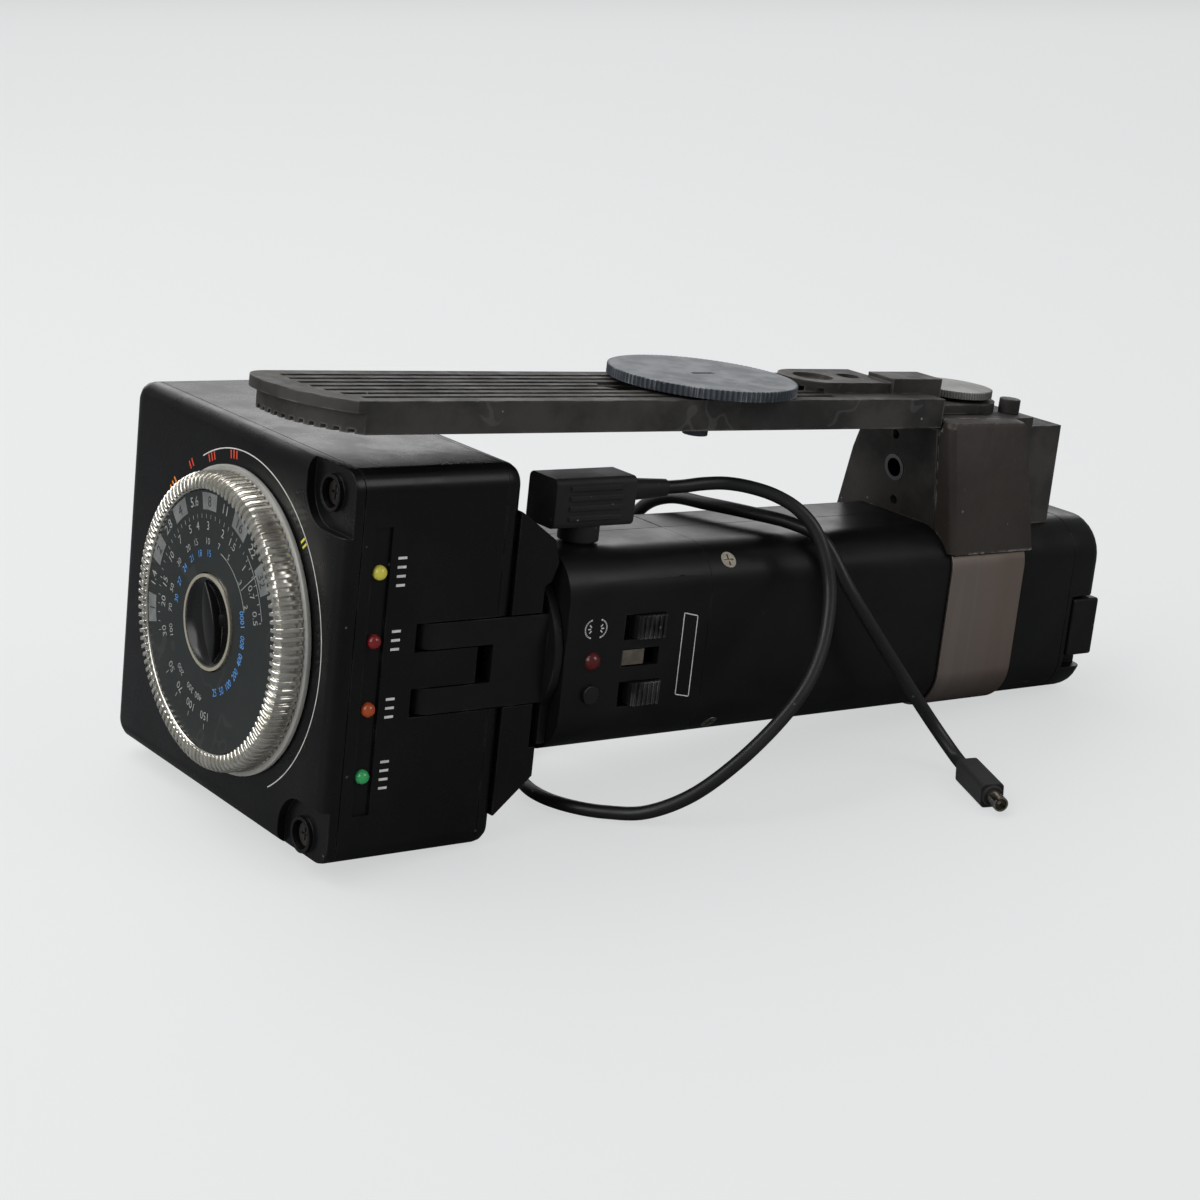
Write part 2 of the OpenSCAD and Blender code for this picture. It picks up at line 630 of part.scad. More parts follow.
module capacitor() lay() color("#24355c") {
    rod_x(cap_start, cap_start + cap_body_len, grip_mid_y, grip_mid_z, cap_r);
    for (z = [-5, 5]) rod_x(cap_start - 2.4, cap_start + 1, grip_mid_y, grip_mid_z + z, 2);
}

// The battery drawer: cap, basket and cells slide out of the handle's end together
module end_cap() lay() color("#19191b") difference() {
    union() {
        soft_bar(battery_end + seam_gap, grip_end, grip_near, grip_far, grip_low, grip_top, grip_round,
            edge_round);
        grip_hollow(battery_end - 1.5, battery_end + 1, 0.4);
    }
    box(battery_end + 1.8, grip_end + 1, grip_near - 1, grip_near + 4.6,
        grip_mid_z - latch_high - latch_travel - 0.6,
        grip_mid_z + 3.6);
    box(battery_end + 4.2, battery_end + 7.8, grip_near + 4, grip_near + 7, grip_mid_z - 8.6 - latch_travel,
        grip_mid_z - 1.4);
}
module cap_latch() lay() color("#2d2d2f") {
    bar(battery_end + 2.3, grip_end + 0.6, grip_near - 0.6, grip_near + 4.2, grip_mid_z - latch_high,
        grip_mid_z + 3, 0.8);
    box(battery_end + 4.6, battery_end + 7.4, grip_near + 4.1, grip_near + 6.6, grip_mid_z - 8,
        grip_mid_z - 2);
}
module cell_basket() lay() color("#3b3b3e") {
    for (x = [basket_start, battery_end - 3.6])
        bar(x, x + 2, grip_near + wall + 0.4, grip_far - wall - 0.4, grip_low + wall + 0.4,
            grip_top - wall - 0.4,
            inner_round - 0.4);
    for (y = [grip_mid_y - cell_step - 2.4, grip_mid_y + cell_step + 0.4])
        box(basket_start + 1, battery_end - 1.5, y, y + 2, grip_mid_z - 13, grip_mid_z + 13);
}
module cells() lay() color("#7c8793") for (j = [-0.5, 0.5], k = [-1, 0, 1]) {
    rod_x(basket_start + 5, basket_start + 5 + cell_len - 1, grip_mid_y + j * cell_step,
        grip_mid_z + k * cell_step, cell_r);
    rod_x(basket_start + 4 + cell_len, basket_start + 5 + cell_len, grip_mid_y + j * cell_step,
        grip_mid_z + k * cell_step, 2.7);
}
module cell_springs() lay() color("#c9cacb") for (j = [-0.5, 0.5], k = [-1, 0, 1]) {
    rod_x(basket_start + 2, basket_start + 5, grip_mid_y + j * cell_step, grip_mid_z + k * cell_step, 3);
    rod_x(basket_start + 5 + cell_len, battery_end - 3.6, grip_mid_y + j * cell_step,
        grip_mid_z + k * cell_step, 4);
}

module steel_band() lay() color("#b3a79c") difference() {
    grip(band_start, band_end, band_thick);
    grip(band_start - 1, band_end + 1, seat_gap);
    box(band_start - 1, band_end + 1, grip_near - 3, grip_far + 3, cover_low - 0.5, grip_top + 3);
}

// The foot's side outline, across the handle: its far flank leans in and hugs the handle
function foot_outline(top) = [[foot_near, grip_top - 12], [foot_near, top], [foot_near + foot_deep, top],
    [grip_far + 1.8, grip_top - 6.8], [grip_far + 2.4, grip_top - 16], [grip_far - 3, grip_top - 16]];
module foot_block(x0, x1, top) translate([x0, 0, 0]) rotate([90, 0, 90]) linear_extrude(x1 - x0)
    polygon(foot_outline(top));
// The frame of the rail, which slopes a little, and the frame of the foot's leaning end face
module on_rail() translate([rail_end, 0, rail_low]) rotate([0, rail_slope, 0])
    translate([-rail_end, 0, -rail_low]) children();
module on_face() translate([foot_start, 0, foot_top]) rotate([0, -foot_lean, 0])
    translate([-foot_start, 0, -foot_top]) children();

module foot_body() lay() color("#4a4846") difference() {
    union() {
        foot_block(foot_start - 1, foot_start + 2.1, foot_top - foot_lip);
        foot_block(foot_start + 2, foot_start + 35, foot_top + 1);
        foot_block(foot_start + 34.9, foot_end, foot_top - 3);
    }
    grip(foot_start - 1, foot_end + 1, seat_gap);
    intersection() {
        grip(band_start - 0.3, band_end + 0.3, band_thick + seat_gap);
        box(0, grip_end, -9, 99, 0, cover_low + 0.3);
    }
    box(foot_start - 1, foot_end + 1, -20, grip_mid_y, 0, grip_top - 1);
    on_face() {
        box(foot_start - 15, foot_start, -20, 60, foot_top - 60, foot_top + 5);
        rod_x(foot_start - 1, foot_start + 10, grip_mid_y, insert_z, bracket_thread_r + 1.1);
        for (s = [-1, 1]) rod_x(foot_start - 1, foot_start + 5, grip_mid_y, insert_z + s * locate_pitch, 1.3);
    }
    on_rail() {
        box(foot_start - 9, foot_end + 9, -20, 60, foot_top, foot_top + 9);
        rod_z(lug_x, rail_mid, foot_top - 12, foot_top + 1, bracket_thread_r + run_gap);
    }
}
module thread_insert() lay() on_face() color("#8a8a88") difference() {
    rod_x(foot_start - 0.2, foot_start + 10 - seat_gap, grip_mid_y, insert_z,
        bracket_thread_r + 1.1 - seat_gap);
    rod_x(foot_start - 1, foot_start + 8, grip_mid_y, insert_z, bracket_thread_r);
}
module foot_stub() lay() on_rail() color("#4c4a48")
    rod_z(foot_start + 32, 8.6, foot_top, foot_top + 3.8, 2.8);

// The painted cover on the control side: it leans back a little towards its top
module cover_slice(x0, x1, near, z) translate([0, 0, z]) linear_extrude(0.2) {
    for (x = [x0 + 2, x1 - 2]) translate([x, near + 2]) circle(r = 2, $fn = soft);
    translate([x0, foot_near - 0.2]) square([x1 - x0, 0.15]);
}
module foot_cover() lay() color("#2e2a28") difference() {
    hull() {
        cover_slice(foot_start + 4.8, foot_start + 34.8, low_y, cover_low);
        on_rail() {
            cover_slice(foot_start + 0.6, foot_start + 29.2, grip_near + 1.4, foot_top - 2);
            cover_slice(foot_start + 1.2, foot_start + 28.6, grip_near + 2.2, foot_top - 0.8);
            cover_slice(foot_start + 2.6, foot_start + 27.2, grip_near + 3.7, foot_top - 0.2);
        }
    }
    grip(foot_start - 2, foot_end, seat_gap);
    box(foot_start - 9, foot_end, foot_near - seat_gap, foot_near + 20, 0, foot_top + 9);
    // Room for the rail's end
    box(foot_start - 9, rail_end + 0.8, rail_near - 0.8, foot_near + 20, foot_top - foot_lip, foot_top + 9);
    intersection() {
        grip(band_start - 0.3, band_end + 0.3, band_thick + seat_gap);
        box(0, grip_end, -9, 99, 0, cover_low + 0.3);
    }
}

// The rail: a ribbed bar with a curved, serrated nose, a raised boss and the lug that the thumb screw holds
nose_r = 32;
nose_y = rail_mid + 7;
far_round = 6;
far_y = rail_far - far_round;
function nose_x(y, back = 0) = rail_start + back + nose_r - sqrt(nose_r * nose_r - pow(y - nose_y, 2));
module rail_plan(back = 0) polygon(concat(
    [for (i = [0:12]) let (y = rail_near + i * (far_y - rail_near) / 12) [nose_x(y, back), y]],
    [for (t = [15:15:90])
        [nose_x(far_y, back) + far_round * (1 - cos(t)), far_y + far_round * sin(t)]],
    [[rail_end, rail_far], [rail_end, rail_near]]));
module rail() lay() on_rail() color("#4d4b49") difference() {
    union() {
        // The nose is set back under its thin upper lip
        translate([0, 0, rail_low]) linear_extrude(rail_thick - 2.6) rail_plan(2.2);
        translate([0, 0, rail_top - 2.7]) linear_extrude(2.7) rail_plan();
        // Raised boss, with its round left end, and the step beside the lug
        rod_z(rail_end - 31, rail_mid, rail_top - 1, rail_top + 2.6, 9);
        box(rail_end - 31, rail_end - 11, rail_mid - 9, rail_mid + 9, rail_top - 1, rail_top + 2.6);
        box(rail_end - 12, rail_end + 5, rail_near + 7.2, rail_near + 17, rail_top - 1, rail_top + 3.8);
        box(rail_end - 1, rail_end + 5, rail_near + 7.2, rail_near + 17, lug_low, rail_top);
        // Lug over the foot
        rod_z(lug_x, rail_mid, lug_low, lug_low + lug_thick, lug_r);
        box(rail_end - 1, lug_x, rail_mid - lug_r, rail_mid + lug_r, lug_low, lug_low + lug_thick);
    }
    // Slot of the camera screw
    hull() for (x = [slot_near_end, wheel_x]) rod_z(x, rail_mid, rail_low - 1, rail_top + 1, slot_half);
    // Lengthwise grooves on the top, which follow the nose at their left ends
    for (i = [0:6]) {
        y = rail_near + 3.4 + i * 4.1;
        box(nose_x(y + 1, 7.5), rail_end - 34, y, y + 2, rail_top - 0.8, rail_top + 1);
    }
    // Serrations under the nose
    for (i = [0:11]) {
        y = rail_near + 1.6 + i * 2.6;
        box(nose_x(y + 0.6) - 1, nose_x(y + 0.6) + 6, y, y + 1.2, rail_low - 1, rail_low + 1);
    }
    // Recesses in the boss
    rod_z(rail_end - 31, rail_mid, rail_top + 1.4, rail_top + 4, 5.2);
    rod_z(rail_end - 19, rail_mid, rail_top + 1.4, rail_top + 4, 3);
    rod_z(lug_x, rail_mid, lug_low - 1, lug_low + 5, bracket_thread_r + run_gap);
}
module camera_wheel() lay() on_rail() color("#3e444c") difference() {
    union() {
        translate([wheel_x, rail_mid, wheel_low]) linear_extrude(wheel_thick)
            polygon(knurl(wheel_r, 0.6, 110));
        rod_z(wheel_x, rail_mid, rail_low - stud_out, rail_low - 0.3, camera_thread_r);
        rod_z(wheel_x, rail_mid, rail_low - 0.4, wheel_low + 0.1, shank_r);
    }
    box(wheel_x - 3.5, wheel_x + 3.5, rail_mid - 0.7, rail_mid + 0.7, wheel_low + wheel_thick - 0.9,
        wheel_low + wheel_thick + 1);
}
module slot_washer() lay() on_rail() color("#7f8184") difference() {
    rod_z(wheel_x, rail_mid, rail_top + seat_gap, rail_top + washer_thick, 7.5);
    rod_z(wheel_x, rail_mid, rail_top - 1, rail_top + 2, shank_r + run_gap);
}
module thumb_wheel() lay() on_rail() color("#8c8b86") {
    translate([lug_x, rail_mid, thumb_low]) linear_extrude(2) polygon(knurl(thumb_r, 0.5, 90));
    rod_z(lug_x, rail_mid, foot_top - 11, thumb_low + 0.5, bracket_thread_r);
}

// The sync lead's plug on the handle
plug_mid_x = plug_x + plug_len / 2;
plug_mid_y = plug_y + plug_deep / 2;
module sync_socket() lay() color("#29292b") difference() {
    union() {
        rod_z(plug_mid_x, plug_mid_y, grip_top - wall - 0.8, grip_top + 0.6, 4 - seat_gap);
        rod_z(plug_mid_x, plug_mid_y, grip_top - wall - 1.6, grip_top - wall - seat_gap, 5.5);
    }
    rod_z(plug_mid_x, plug_mid_y, grip_top - 1.2, grip_top + 2, 3);
}
module plug_collar() lay() color("#252527") {
    rod_z(plug_mid_x, plug_mid_y, grip_top - 1.2, grip_top + 1, 2.9);
    rod_z(plug_mid_x, plug_mid_y, grip_top + 0.7, plug_z, 5);
}
module plug_block() lay() color("#1e1e20") {
    bar(plug_x, plug_x + plug_len, plug_y, plug_y + plug_deep, plug_z, plug_z + plug_high, 1.6);
    for (i = [0:3]) box(plug_x + 4, plug_x + plug_len - 4, plug_y - 0.5, plug_y + 0.1,
        plug_z + 2 + i * 2.4, plug_z + 3 + i * 2.4);
}
relief_z = plug_z + 7.4;
relief_end = plug_x + plug_len + relief_len;
module strain_relief() lay() color("#202022") difference() {
    translate([plug_x + plug_len, plug_mid_y, relief_z]) rotate([0, 90, 0])
        cylinder(h = relief_len, r1 = 2.9, r2 = lead_dia / 2 + 0.4, $fn = fine);
    rod_x(relief_end - 3, relief_end + 1, plug_mid_y, relief_z, lead_dia / 2 + seat_gap);
}

// The lead, in the row's own frame: out of the plug, down to the table, under the handle and back over it
function laid(p) = shift + [p[0] * cos(lie_angle) + p[2] * sin(lie_angle), p[1],
    p[2] * cos(lie_angle) - p[0] * sin(lie_angle)];
tip_at = [49, -82.5, 3.2];
tip_turn = -112.7;
tip_len = 17.5;
tip_way = [cos(tip_turn), sin(tip_turn), 0];
lead_points = concat([laid([relief_end - 2.8, plug_mid_y, relief_z]),
    laid([relief_end + 1, plug_mid_y, relief_z])], [
    [-9, -38, 75.5], [-3.5, -39, 75.5], [2, -41, 75.2], [6.5, -45, 74.4], [10.5, -49.5, 72.8],
        [13.8, -54, 70],
    [16.2, -58, 65.5], [17.2, -61, 59.5], [17, -63.5, 52.5], [14.8, -66, 45.5], [10.8, -68.5, 38],
        [4.5, -70.5, 30.5],
    [-4.5, -71, 23], [-16, -70, 15], [-26.5, -66.5, 8], [-35, -60, 3.4], [-41, -52, 2], [-46, -44.5, 2],
    [-48.5, -35.5, 2], [-47.5, -26, 2], [-42.5, -16.5, 2], [-35, -8, 2.4], [-26.5, -2.5, 7.5],
        [-17.5, -0.5, 19],
    [-9, -0.5, 35], [-2.5, -2, 49], [2, -6, 60], [6, -13, 64.2], [10.5, -23, 64.2], [16, -34, 63.6],
    [21, -44, 62.6], [24.5, -52, 59.5], [27.5, -59.5, 48], [34.5, -63.5, 35], [42, -66.5, 22.5],
        [49, -69, 11.5],
    [51.2, -74.5, 5]], [tip_at - 3.6 * tip_way, tip_at + 2.8 * tip_way]);
function lead_at(i) = lead_points[max(0, min(len(lead_points) - 1, i))];
function blend(a, b, c, d, t) = 0.5 * (2 * b + (c - a) * t + (2 * a - 5 * b + 4 * c - d) * t * t
    + (3 * b - a - 3 * c + d) * t * t * t);
lead_path = concat([for (i = [0:len(lead_points) - 2], t = [0, 0.5])
    blend(lead_at(i - 1), lead_at(i), lead_at(i + 1), lead_at(i + 2), t)], [lead_at(len(lead_points) - 1)]);
lead_rings = len(lead_path);
function unit(v) = v / norm(v);
function along(i) = unit(lead_path[min(i + 1, lead_rings - 1)] - lead_path[max(i - 1, 0)]);
function sides(i, v) = i == lead_rings ? [] :
    let (t = along(i), w = unit(v - (v * t) * t)) concat([w], sides(i + 1, w));
lead_sides = sides(0, [0, 1, 0]);
lead_facets = 8;
module sync_lead() color("#242426") polyhedron(
    points = [for (i = [0:lead_rings - 1], j = [0:lead_facets - 1]) lead_path[i] + lead_dia / 2
        * (cos(j * 360 / lead_facets) * lead_sides[i] + sin(j * 360 / lead_facets) * cross(along(i),
            lead_sides[i]))],
    faces = concat([[for (j = [0:lead_facets - 1]) j]],
        [[for (j = [lead_facets - 1:-1:0]) (lead_rings - 1) * lead_facets + j]],
        [for (i = [0:lead_rings - 2], j = [0:lead_facets - 1], k = [0, 1])
            let (a = i * lead_facets + j, b = i * lead_facets + (j + 1) % lead_facets)
            k == 0 ? [a, b + lead_facets, b] : [a, a + lead_facets, b + lead_facets]]));

// The plug at the lead's free end, lying on the table
module at_tip() translate(tip_at) rotate([0, 0, tip_turn]) children();
module tip_sleeve() color("#1c1c1d") at_tip() difference() {
    union() {
        bar(0, tip_len, -3, 3, -3.1, 3.1, 1.2);
        rod_x(tip_len - 0.1, tip_len + 0.8, 0, 0, 2.6);
    }
    rod_x(-1, 3, 0, 0, lead_dia / 2 + seat_gap);
    rod_x(tip_len - 4, tip_len + 1, 0, 0, tip_r - 0.3);
}
tip_r = 1.9;
module tip_contact() color("#b5b1a4") at_tip() difference() {
    union() {
        rod_x(tip_len - 4, tip_len + 1.4, 0, 0, tip_r - 0.3);
        difference() {
            rod_x(tip_len + 0.8 + seat_gap, tip_len + 5.6, 0, 0, tip_r);
            rod_x(tip_len + 1.3, tip_len + 6, 0, 0, tip_r - 0.4);
            rotate([36, 0, 0]) box(tip_len + 1.7, tip_len + 6, -0.2, 0.2, 0, 3);
        }
        rod_x(tip_len, tip_len + 4.4, 0, 0, 0.45);
    }
}

dial_cover();
head_shell();
rear_cover();
front_lens();
reflector();
flash_tube();
tube_holders();
trigger_coil();
corner_screws();
tilt_pin();
lamp_yellow();
lamp_red();
lamp_orange();
lamp_green();
dial_spindle();
dial_ring();
scale_disc();
film_knob();
knob_trim();
neck_fork();
swivel_ring();
control_front();
control_back();
battery_front();
battery_back();
housing_screws();
ready_lamp();
test_button();
power_switch();
mode_switch();
winder_switch();
sensor_window();
circuit_board();
capacitor();
end_cap();
cap_latch();
cell_basket();
cells();
cell_springs();
steel_band();
foot_body();
foot_cover();
thread_insert();
foot_stub();
rail();
camera_wheel();
slot_washer();
thumb_wheel();
sync_socket();
plug_block();
plug_collar();
strain_relief();
sync_lead();
tip_sleeve();
tip_contact();
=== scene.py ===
from math import asin, atan2, cos, log2, pi, radians, sin

import bmesh
import bpy
from mathutils import Matrix, Vector


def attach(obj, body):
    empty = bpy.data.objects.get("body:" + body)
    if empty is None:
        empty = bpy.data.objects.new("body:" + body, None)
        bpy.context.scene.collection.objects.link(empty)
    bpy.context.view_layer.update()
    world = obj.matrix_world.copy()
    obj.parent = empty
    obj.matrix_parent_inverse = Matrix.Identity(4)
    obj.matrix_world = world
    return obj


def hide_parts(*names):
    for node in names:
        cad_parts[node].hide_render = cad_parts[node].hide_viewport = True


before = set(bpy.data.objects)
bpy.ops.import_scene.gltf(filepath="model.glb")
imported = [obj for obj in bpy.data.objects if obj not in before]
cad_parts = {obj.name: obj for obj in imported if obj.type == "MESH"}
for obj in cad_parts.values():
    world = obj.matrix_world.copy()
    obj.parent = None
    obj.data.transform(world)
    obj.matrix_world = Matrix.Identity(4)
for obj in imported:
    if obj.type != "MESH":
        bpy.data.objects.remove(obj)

bpy.ops.object.select_all(action="DESELECT")
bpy.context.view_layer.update()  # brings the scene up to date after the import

# The handle lies tilted on the table. Its own axes are a, along the handle from the dial, d, from the control
# side to the lens, and u, up. Sizes below are millimetres along them, unless a note says otherwise.
handleLie = {"tilt": 6.33037, "shift": (-119.201, -48.65, 4.8177)}
mm = 0.001
layMatrix = (Matrix.Translation(Vector(handleLie["shift"]) * mm)
             @ Matrix.Rotation(radians(handleLie["tilt"]), 4, "Y"))


# Where a point of the handle lies in the frame, in metres
def laidPoint(a, d, u):
    return layMatrix @ (Vector((a, d, u)) * mm)


# The camera stands where the photographer stood
cameraView = {
    "focal": 76.908,
    "sensor": 36,  # millimetres wide
    "place": (-0.38055, -0.51069, 0.24702),  # metres
    "yaw": 36.26,
    "pitch": 18.51,
    "roll": 1.03,
    "nearest": 0.02,
}


def makeCamera(view):
    yaw, pitch, roll = (radians(view[k]) for k in ("yaw", "pitch", "roll"))
    ahead = Vector((sin(yaw) * cos(pitch), cos(yaw) * cos(pitch), -sin(pitch)))
    level = Vector((cos(yaw), -sin(yaw), 0))
    over = level.cross(ahead)
    right = level * cos(roll) + over * sin(roll)
    up = over * cos(roll) - level * sin(roll)
    bpy.ops.object.camera_add()
    camera = bpy.context.object
    camera.name = "viewCamera"
    camera.data.lens = view["focal"]
    camera.data.sensor_width = view["sensor"]
    camera.data.sensor_fit = "HORIZONTAL"
    camera.data.clip_start = view["nearest"]
    turn = Matrix((right, up, -ahead)).transposed().to_4x4()
    camera.matrix_world = Matrix.Translation(view["place"]) @ turn
    bpy.context.scene.camera = camera
    camera.select_set(False)


makeCamera(cameraView)
print("camera placed")


# Shader node groups. Each puts out a mask, a value or a height that changes over the surface.
def newGroup(name, inputs, outputs):
    group = bpy.data.node_groups.new(name, "ShaderNodeTree")
    for label, kind, value in inputs:
        socket = group.interface.new_socket(name=label, in_out="INPUT", socket_type=kind)
        if value is not None:
            socket.default_value = value
    for label, kind in outputs:
        group.interface.new_socket(name=label, in_out="OUTPUT", socket_type=kind)
    start = group.nodes.new("NodeGroupInput")
    end = group.nodes.new("NodeGroupOutput")
    return group, start, end


def addNode(tree, kind, links=(), **values):
    node = tree.nodes.new(kind)
    for key, value in values.items():
        setattr(node, key, value)
    for socket, source in links:
        if hasattr(source, "is_output"):
            tree.links.new(source, node.inputs[socket])
        else:
            node.inputs[socket].default_value = source
    return node


def scaled(tree, value, factor):
    return addNode(tree, "ShaderNodeMath", [(0, value), (1, factor)], operation="MULTIPLY").outputs[0]


# Shares and limits inside the effects
effectLook = {
    "mottleRough": 0.62, "patchFrom": 0.45, "patchTo": 0.62,
    "gapScale": 23.0, "gapShare": 0.56, "lumpScale": 0.7, "lumpSmooth": 0.6,
}


# Slow changes of tone over a surface, 0 to 1
def makeMottle():
    group, start, end = newGroup("mottle", [
        ("Vector", "NodeSocketVector", None), ("Scale", "NodeSocketFloat", 40.0),
        ("Low", "NodeSocketFloat", 0.35), ("High", "NodeSocketFloat", 0.65)], [("Mask", "NodeSocketFloat")])
    broad = addNode(group, "ShaderNodeTexNoise", [("Vector", start.outputs["Vector"]), ("Detail", 6.0),
                                                  ("Scale", start.outputs["Scale"]),
                                                  ("Roughness", effectLook["mottleRough"])])
    spread = addNode(group, "ShaderNodeMapRange", [("Value", broad.outputs["Fac"]),
                                                   ("From Min", start.outputs["Low"]),
                                                   ("From Max", start.outputs["High"])],
                     interpolation_type="SMOOTHSTEP")
    group.links.new(spread.outputs["Result"], end.inputs["Mask"])
    return group


# Small pale specks, a few to the square centimetre
def makeSpecks():
    group, start, end = newGroup("dustSpecks", [
        ("Vector", "NodeSocketVector", None), ("Scale", "NodeSocketFloat", 260.0),
        ("Size", "NodeSocketFloat", 0.1), ("Share", "NodeSocketFloat", 0.12)], [("Mask", "NodeSocketFloat")])
    cells = addNode(group, "ShaderNodeTexVoronoi", [("Vector", start.outputs["Vector"]),
                                                    ("Scale", start.outputs["Scale"])])
    inside = addNode(group, "ShaderNodeMath", [(0, cells.outputs["Distance"]), (1, start.outputs["Size"])],
                     operation="LESS_THAN")
    parts = addNode(group, "ShaderNodeSeparateColor", [("Color", cells.outputs["Color"])])
    chosen = addNode(group, "ShaderNodeMath", [(0, parts.outputs["Red"]), (1, start.outputs["Share"])],
                     operation="LESS_THAN")
    both = scaled(group, inside.outputs[0], chosen.outputs[0])
    group.links.new(scaled(group, both, parts.outputs["Green"]), end.inputs["Mask"])
    return group


# A mask of rubbed edges, broken up by noise
def makeEdgeWear():
    group, start, end = newGroup("edgeWear", [
        ("Vector", "NodeSocketVector", None), ("Radius", "NodeSocketFloat", 0.0006),
        ("Start", "NodeSocketFloat", 0.02), ("Full", "NodeSocketFloat", 0.2),
        ("Patch", "NodeSocketFloat", 150.0)], [("Mask", "NodeSocketFloat")])
    rounded = addNode(group, "ShaderNodeBevel", [("Radius", start.outputs["Radius"])], samples=4)
    flat = addNode(group, "ShaderNodeNewGeometry")
    same = addNode(group, "ShaderNodeVectorMath", [(0, rounded.outputs["Normal"]),
                                                   (1, flat.outputs["Normal"])], operation="DOT_PRODUCT")
    bend = addNode(group, "ShaderNodeMath", [(0, 1.0), (1, same.outputs["Value"])], operation="SUBTRACT")
    edge = addNode(group, "ShaderNodeMapRange", [("Value", bend.outputs[0]),
                                                 ("From Min", start.outputs["Start"]),
                                                 ("From Max", start.outputs["Full"])])
    patches = addNode(group, "ShaderNodeTexNoise", [("Vector", start.outputs["Vector"]), ("Detail", 4.0),
                                                    ("Scale", start.outputs["Patch"])])
    broken = addNode(group, "ShaderNodeMapRange", [("Value", patches.outputs["Fac"]),
                                                   ("From Min", effectLook["patchFrom"]),
                                                   ("From Max", effectLook["patchTo"])])
    group.links.new(scaled(group, edge.outputs["Result"], broken.outputs["Result"]), end.inputs["Mask"])
    return group


# Fine thin scratches that run mostly one way
def makeScratches():
    group, start, end = newGroup("fineScratches", [
        ("Vector", "NodeSocketVector", None), ("Scale", "NodeSocketFloat", 60.0),
        ("Width", "NodeSocketFloat", 0.012)], [("Mask", "NodeSocketFloat")])
    warp = addNode(group, "ShaderNodeTexNoise", [("Vector", start.outputs["Vector"]),
                                                 ("Scale", start.outputs["Scale"]), ("Detail", 2.0)])
    near = addNode(group, "ShaderNodeMath", [(0, warp.outputs["Fac"]), (1, 0.5)], operation="SUBTRACT")
    size = addNode(group, "ShaderNodeMath", [(0, near.outputs[0])], operation="ABSOLUTE")
    line = addNode(group, "ShaderNodeMath", [(0, size.outputs[0]), (1, start.outputs["Width"])],
                   operation="LESS_THAN")
    gaps = addNode(group, "ShaderNodeTexNoise", [("Vector", start.outputs["Vector"]),
                                                 ("Scale", effectLook["gapScale"])])
    some = addNode(group, "ShaderNodeMath", [(0, gaps.outputs["Fac"]), (1, effectLook["gapShare"])],
                   operation="GREATER_THAN")
    group.links.new(scaled(group, line.outputs[0], some.outputs[0]), end.inputs["Mask"])
    return group


# The height of a moulded or cast grain
def makeGrain():
    group, start, end = newGroup("grain", [
        ("Vector", "NodeSocketVector", None), ("Scale", "NodeSocketFloat", 900.0),
        ("Pebble", "NodeSocketFloat", 0.3)], [("Height", "NodeSocketFloat")])
    fine = addNode(group, "ShaderNodeTexNoise", [("Vector", start.outputs["Vector"]), ("Detail", 3.0),
                                                 ("Scale", start.outputs["Scale"])])
    coarse = scaled(group, start.outputs["Scale"], effectLook["lumpScale"])
    lumps = addNode(group, "ShaderNodeTexVoronoi", [("Vector", start.outputs["Vector"]),
                                                    ("Scale", coarse),
                                                    ("Smoothness", effectLook["lumpSmooth"])],
                    feature="SMOOTH_F1")
    raised = scaled(group, lumps.outputs["Distance"], start.outputs["Pebble"])
    total = addNode(group, "ShaderNodeMath", [(0, fine.outputs["Fac"]), (1, raised)], operation="SUBTRACT")
    group.links.new(total.outputs[0], end.inputs["Height"])
    return group


effects = {
    "mottle": makeMottle(), "specks": makeSpecks(), "wear": makeEdgeWear(), "scratches": makeScratches(),
    "grain": makeGrain(),
}


# A painted, moulded or metal surface. Each finish below gives what differs from these values.
plainLook = {
    "colour": (0.02, 0.02, 0.022), "tone": (0.035, 0.034, 0.034), "toneScale": 35.0,
    "rough": (0.42, 0.55), "smearScale": 2.3, "metal": 0.0, "level": 0.5,
    "grain": 1100.0, "pebble": 0.3, "bump": 0.12, "depth": 0.00008,
    "dust": 0.25, "dustScale": 300.0, "dustShare": 0.1, "dustTone": (0.32, 0.31, 0.29),
    "wear": 0.0, "wearTone": (0.2, 0.19, 0.18), "wearRadius": 0.0006, "wearPatch": 150.0,
    "lines": 0.0, "linesTone": (0.12, 0.12, 0.12), "stretch": (1.0, 1.0, 1.0), "coat": 0.0, "coatRough": 0.2,
    "clear": 0.0, "bend": 1.45, "sheen": 0.0,
}


def placeEffect(tree, kind, vector, **values):
    node = tree.nodes.new("ShaderNodeGroup")
    node.node_tree = effects[kind]
    tree.links.new(vector, node.inputs["Vector"])
    for key, value in values.items():
        node.inputs[key].default_value = value
    return node


# A mix node's colours are its inputs 6 and 7, and its mixed colour is its output 2
def mixTone(tree, factor, first, second):
    mix = addNode(tree, "ShaderNodeMix", data_type="RGBA")
    if hasattr(factor, "is_output"):
        tree.links.new(factor, mix.inputs[0])
    else:
        mix.inputs[0].default_value = factor
    for place, tone in ((6, first), (7, second)):
        if hasattr(tone, "is_output"):
            tree.links.new(tone, mix.inputs[place])
        else:
            mix.inputs[place].default_value = (*tone, 1)
    return mix.outputs[2]


